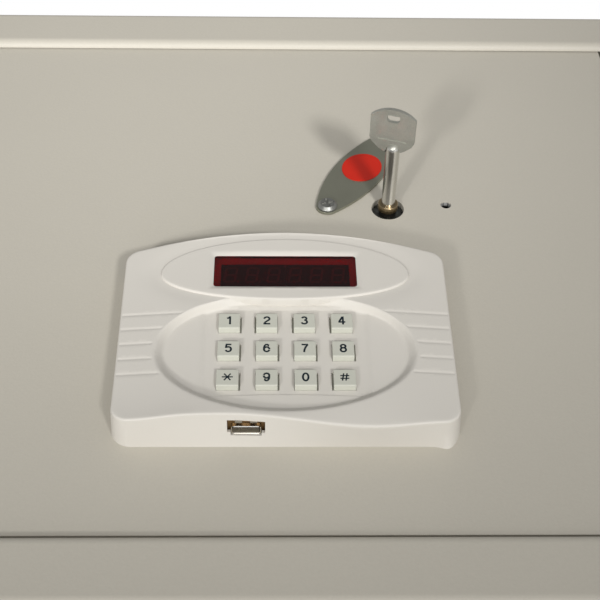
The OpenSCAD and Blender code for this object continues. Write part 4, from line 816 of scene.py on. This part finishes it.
def frame_plate(name, outer, inner, low, high):
    """A flat plate with one opening."""
    points = [(x, y, z) for z in (low, high) for loop in (outer, inner) for x, y in loop]
    n, m = len(outer), len(inner)
    flat = [Vector(p) for p in outer + inner]
    edges = [(i, (i + 1) % n) for i in range(n)] + [(n + i, n + (i + 1) % m) for i in range(m)]
    faces = delaunay_2d_cdt(flat, edges, [], 0, 1e-6)[2]
    middles = np.array([np.mean([flat[i] for i in f], axis=0) for f in faces])
    keep = inside(middles, outer) & ~inside(middles, inner)
    sheets = [tuple(f) for f, good in zip(faces, keep) if good]
    shift = n + m
    walls = [(i, (i + 1) % n, (i + 1) % n + shift, i + shift) for i in range(n)]
    walls += [(n + (i + 1) % m, n + i, n + i + shift, n + (i + 1) % m + shift) for i in range(m)]
    solid = [tuple(reversed(f)) for f in sheets] + [tuple(i + shift for i in f) for f in sheets] + walls
    return as_mesh(name, points, solid)


def box_outline(low, high, grow):
    """The outline of a box seen from above, grown by a margin."""
    return rectangle(low.x - grow, low.y - grow, high.x + grow, high.y + grow)


window_low, window_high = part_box("display_window")
surround = frame_plate("display_surround", box_outline(window_low, window_high, 0.001),
                       box_outline(MODULE_LOW, MODULE_HIGH, 0.0002),
                       MODULE_HIGH.z - 0.0022, MODULE_HIGH.z - 0.0012)
add_piece("display_surround", surround, "lid", surround_white)

usb_low, usb_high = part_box("usb_shell")


def tube_loft(name, outline, wall, start_y, end_y):
    """A thin tube along Y with a rounded outline given in X and Z."""
    centre = Vector((sum(p[0] for p in outline), sum(p[1] for p in outline))) / len(outline)
    size = Vector((max(p[0] for p in outline), max(p[1] for p in outline))) - centre

    def grown_by(length):
        """The outline with its half sizes changed by a length."""
        wide, high = 1 + length / size.x, 1 + length / size.y
        return [(centre.x + (x - centre.x) * wide, centre.y + (z - centre.y) * high) for x, z in outline]

    inner, flare = grown_by(-wall), grown_by(0.25 * wall)
    loops = [(outline, end_y), (outline, start_y + wall), (flare, start_y), (inner, start_y + wall),
             (inner, end_y)]
    n = len(outline)
    points = [(x, y, z) for loop, y in loops for x, z in loop]
    faces = [(k % 5 * n + i, k % 5 * n + (i + 1) % n, (k + 1) % 5 * n + (i + 1) % n, (k + 1) % 5 * n + i)
             for k in range(5) for i in range(n)]
    return as_mesh(name, points, faces)


mouth = rectangle(usb_low.x, usb_low.z, usb_high.x, usb_high.z, 1.1 * MM)
add_piece("usb_mouth", tube_loft("usb_mouth", mouth, 0.35 * MM, usb_low.y, usb_high.y), "lid",
          materials["usb_metal"], ("usb_shell",))
hood_outer = rectangle(-USB_CUT_W / 2 - 0.5, -0.3, USB_CUT_W / 2 + 0.5, 8.9)
hood_inner = rectangle(-6.35, 0.05, 6.35, 5.3, 1.2)
hood = frame_plate("usb_hood", hood_outer, hood_inner, 0, 0.4)
stand = Matrix.Rotation(math.radians(90), 4, "X")
hood_spot = on_pad(USB_X, -PAD_FRONT + HOOD_BACK, USB_LOW + SOCKET_RISE)
hood_at = Matrix.Translation(hood_spot) @ Matrix.Scale(MM, 4) @ stand
add_piece("usb_hood", moved(hood, hood_at), "lid", socket_brown)
tabs = [plate_mesh("tab", rectangle(x - 1.6, 5.9, x + 1.6, 7.3, 0.5), 0, 0.5, 0.15) for x in (-3.2, 3.2)]
tabs_spot = on_pad(USB_X, -PAD_FRONT + TABS_BACK, USB_LOW + SOCKET_RISE)
tabs_at = Matrix.Translation(tabs_spot) @ Matrix.Scale(MM, 4) @ stand
add_piece("usb_tabs", moved(joined("usb_tabs", tabs), tabs_at), "lid", materials["usb_metal"])

PIVOT = (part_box("cover_rivet")[0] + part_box("cover_rivet")[1]) / 2
PLATE_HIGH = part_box("cover_plate")[1].z
badge_place = (Matrix.Translation((PIVOT.x, PIVOT.y, PLATE_HIGH)) @ Matrix.Rotation(PLATE_TURN, 4, "Z")
               @ Matrix.Scale(MM, 4) @ Matrix.Translation((BADGE_AT, 0, 0)))
badge = plate_mesh("cover_badge", ellipse(0, 0, BADGE_RX, BADGE_RY, 72), 0.0, 0.35, 0.12)
add_piece("cover_badge", moved(badge, badge_place), "cover", badge_red)


def painted_light_faces(name, material, chosen):
    """A second material on the faces of a node that a test picks by their middle; here it carries painted
    reflections on the key's shank and painted shade on the barrel's foot.
    """
    mesh = nodes[name].data
    mesh.materials.append(material)
    for face in mesh.polygons:
        if chosen(face.center):
            face.material_index = 1


def reflection_banded_steel(name, middle, radius):
    """Tube steel with painted reflections: light and dark bands that run along its length, set across X from
    the middle, with a bright painted highlight band.
    """
    material = finish(name, (1, 1, 1), 0.24, 1.0, mottle=0.04, grain=0.04, uneven=0.08, bump=0.000006)
    tree = material.node_tree
    x = add(tree, "SeparateXYZ", {0: add(tree, "TexCoord").outputs["Object"]}).outputs["X"]
    across = add(tree, "MapRange", {"Value": x, "From Min": middle - radius,
                                    "From Max": middle + radius}).outputs[0]
    ramp = add(tree, "ValToRGB", {"Fac": across})
    # painted reflections: these stops darken and brighten the shank in bands across X, and the 0.88 band is a
    # painted highlight
    stops = ((0.0, 0.30), (0.10, 0.75), (0.20, 0.62), (0.30, 0.38), (0.48, 0.40), (0.58, 0.88),
             (0.66, 0.88), (0.78, 0.66), (1.0, 0.70))
    for place, shade in stops[1:-1]:
        ramp.color_ramp.elements.new(place)
    for element, (place, shade) in zip(ramp.color_ramp.elements, stops):
        element.position = place
        element.color = (shade, shade * 0.985, shade * 0.94, 1)
    tree.links.new(ramp.outputs["Color"], tree.nodes["Principled BSDF"].inputs["Base Color"])
    return material


def sunk_steel(name, top, depth):
    """Tube steel, streaked along its length, that is dark below a depth where no light comes."""
    material = finish(name, (1, 1, 1), 0.4, 0.4, mottle=0.05, grain=0.05)
    tree = material.node_tree
    place = add(tree, "TexCoord").outputs["Object"]
    z = add(tree, "SeparateXYZ", {0: place}).outputs["Z"]
    down = add(tree, "MapRange", {"Value": z, "From Min": top - depth,
                                  "From Max": top - 0.6 * depth}).outputs[0]
    upright = add(tree, "Mapping", {"Vector": place, "Scale": (1, 1, 0.02)}).outputs["Vector"]
    streak = add(tree, "TexNoise", {"Vector": upright, "Scale": 1400.0, "Detail": 1.0}).outputs[0]
    level = add(tree, "MapRange", {"Value": streak, "From Min": 0.35, "From Max": 0.65, "To Min": 0.12,
                                   "To Max": 0.55}).outputs[0]
    shade = add(tree, "Math", {0: down, 1: level}, operation="MULTIPLY").outputs[0]
    tinted = add(tree, "VectorMath", {0: (1.0, 0.99, 0.95), "Scale": shade}, operation="SCALE").outputs[0]
    tree.links.new(tinted, tree.nodes["Principled BSDF"].inputs["Base Color"])
    return material


LOCK_AT = (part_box("lock_plug")[0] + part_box("lock_plug")[1]) / 2
KEY_R = 3.5 * MM
# painted reflections and a painted highlight on the key's shank
painted_light_faces("key", reflection_banded_steel("key_shank", LOCK_AT.x, KEY_R), lambda at: at.z < LID_TOP + 40.5 * MM
              and math.hypot(at.x - LOCK_AT.x, at.y - LOCK_AT.y) < KEY_R + 0.3 * MM)
# painted shade on the barrel's faces below the lid's top
painted_light_faces("key_barrel", barrel_painted_shade, lambda at: at.z < LID_TOP + 0.45 * MM)
for node, material in (("cover_rivet", rivet_steel),
                       ("cover_bush", sunk_steel("bush_steel", LID_TOP, 2.9 * MM)),
                       ("display_modules", module_black)):
    nodes[node].data.materials[0] = material

soften(["button_" + key for line in KEYS for key in line], 0.4 * MM)
soften(["lid_plate"], 0.5 * MM)
soften(["cover_plate", "key"], 0.22 * MM)
soften(["cover_rivet", "key_barrel", "lock_barrel", "cover_bush", "lock_plug"], 0.12 * MM)


# Stage, lights and camera

def aimed(name, data, azimuth, elevation, distance, aim):
    """A lamp that looks at aim from a direction; azimuth 0 is the front, and positive is to the right."""
    a, e = math.radians(azimuth), math.radians(elevation)
    back = Vector((math.sin(a) * math.cos(e), -math.cos(a) * math.cos(e), math.sin(e)))
    lamp = bpy.data.objects.new(name, data)
    lamp.location = Vector(aim) + back * distance
    lamp.rotation_euler = back.to_track_quat("Z", "Y").to_euler()
    scene.collection.objects.link(lamp)


def soft_spot(name, azimuth, elevation, power, aim, distance, radius=0.16, cone=16.2):
    """A large round lamp whose light fades towards the edge of a wide cone."""
    data = bpy.data.lights.new(name, "SPOT")
    data.energy = power
    data.shadow_soft_size = radius
    data.spot_size = math.radians(cone)
    data.spot_blend = 1.0
    aimed(name, data, azimuth, elevation, distance, aim)


def even_light(name, azimuth, elevation, strength, width):
    """Light that is as strong everywhere, from a patch of sky of the given width in degrees."""
    data = bpy.data.lights.new(name, "SUN")
    data.energy = strength
    data.angle = math.radians(width)
    aimed(name, data, azimuth, elevation, 3.0, (0, 0, 0.15))


def sky_strength(tree):
    """White for the camera, a plain level for light, and a room darker overhead for reflections."""
    path = add(tree, "LightPath")
    up = add(tree, "SeparateXYZ", {0: add(tree, "TexCoord").outputs["Generated"]}).outputs["Z"]
    room = add(tree, "MapRange", {"Value": up, "From Min": 0.0, "From Max": 0.75, "To Min": ROOM_LEVEL,
                                  "To Max": ROOM_OVERHEAD})
    seen = add(tree, "MapRange", {"Value": path.outputs["Is Glossy Ray"], "To Min": AMBIENT,
                                  "To Max": room.outputs[0]}).outputs[0]
    white = add(tree, "MapRange", {"Value": path.outputs["Is Camera Ray"], "To Min": seen, "To Max": 1.0})
    return white.outputs[0]


def fading_floor(clear, reach):
    """A pale floor with the safe's shadow, which the camera sees turn white within a reach of the foot."""
    material = finish("floor_pale", (0.80, 0.80, 0.79), 0.8, mottle=0.005, grain=0.0, bump=0.0)
    tree = material.node_tree
    out = add(tree, "TexCoord").outputs["Object"]
    for operation, other in (("ABSOLUTE", (0, 0, 0)), ("SUBTRACT", (cad_box[1].x, cad_box[1].y, 0)),
                             ("MAXIMUM", (0, 0, 0))):
        out = add(tree, "VectorMath", {0: out, 1: other}, operation=operation).outputs[0]
    away = add(tree, "VectorMath", {0: out}, operation="LENGTH").outputs["Value"]
    fade = add(tree, "MapRange", {"Value": away, "From Max": reach, "To Min": clear},
               interpolation_type="SMOOTHSTEP").outputs[0]
    camera_ray = add(tree, "LightPath").outputs["Is Camera Ray"]
    seen = add(tree, "Math", {0: fade, 1: camera_ray}, operation="MULTIPLY").outputs[0]
    mixed = add(tree, "MixShader", {0: seen, 1: tree.nodes["Principled BSDF"].outputs[0],
                                    2: add(tree, "BsdfTransparent").outputs[0]})
    tree.links.new(mixed.outputs[0], tree.nodes["Material Output"].inputs["Surface"])
    return material


world = bpy.data.worlds.new("studio")
scene.world = world
world.use_nodes = True
sky = world.node_tree
sky.nodes["Background"].inputs["Color"].default_value = (1.0, 1.0, 1.0, 1)
sky.links.new(sky_strength(sky), sky.nodes["Background"].inputs["Strength"])

floor = bpy.data.objects.new("floor", plate_mesh("floor", rectangle(-3, -3, 3, 3), -0.02, 0.0))
scene.collection.objects.link(floor)
floor.data.materials.append(fading_floor(0.35, 0.17))

soft_spot("front_right", 21.3, 37.6, 165, (-0.012, 0.179, 0.15), 2.74)
soft_spot("front_left", -21.3, 27.4, 160, (-0.142, 0.172, 0.15), 2.67)
even_light("front_soft", -10, 45, 0.52, 50)
even_light("low_front", -5, 14, 0.2, 20)

camera_data = bpy.data.cameras.new("camera")
camera_data.lens = CAMERA_LENS
camera_data.sensor_width = 36.0
camera_data.clip_start = 0.01
camera = bpy.data.objects.new("camera", camera_data)
forward = Vector((math.sin(CAMERA_YAW) * math.cos(CAMERA_DOWN), math.cos(CAMERA_YAW) * math.cos(CAMERA_DOWN),
                  -math.sin(CAMERA_DOWN)))
level_right = Vector((math.cos(CAMERA_YAW), -math.sin(CAMERA_YAW), 0))
level_up = level_right.cross(forward)
right = level_right * math.cos(CAMERA_ROLL) + level_up * math.sin(CAMERA_ROLL)
up = level_up * math.cos(CAMERA_ROLL) - level_right * math.sin(CAMERA_ROLL)
camera.matrix_world = (Matrix.Translation(CAMERA_AT)
                       @ Matrix((right, up, -forward)).transposed().to_4x4())
scene.collection.objects.link(camera)
scene.camera = camera
scene.view_settings.view_transform = "Standard"
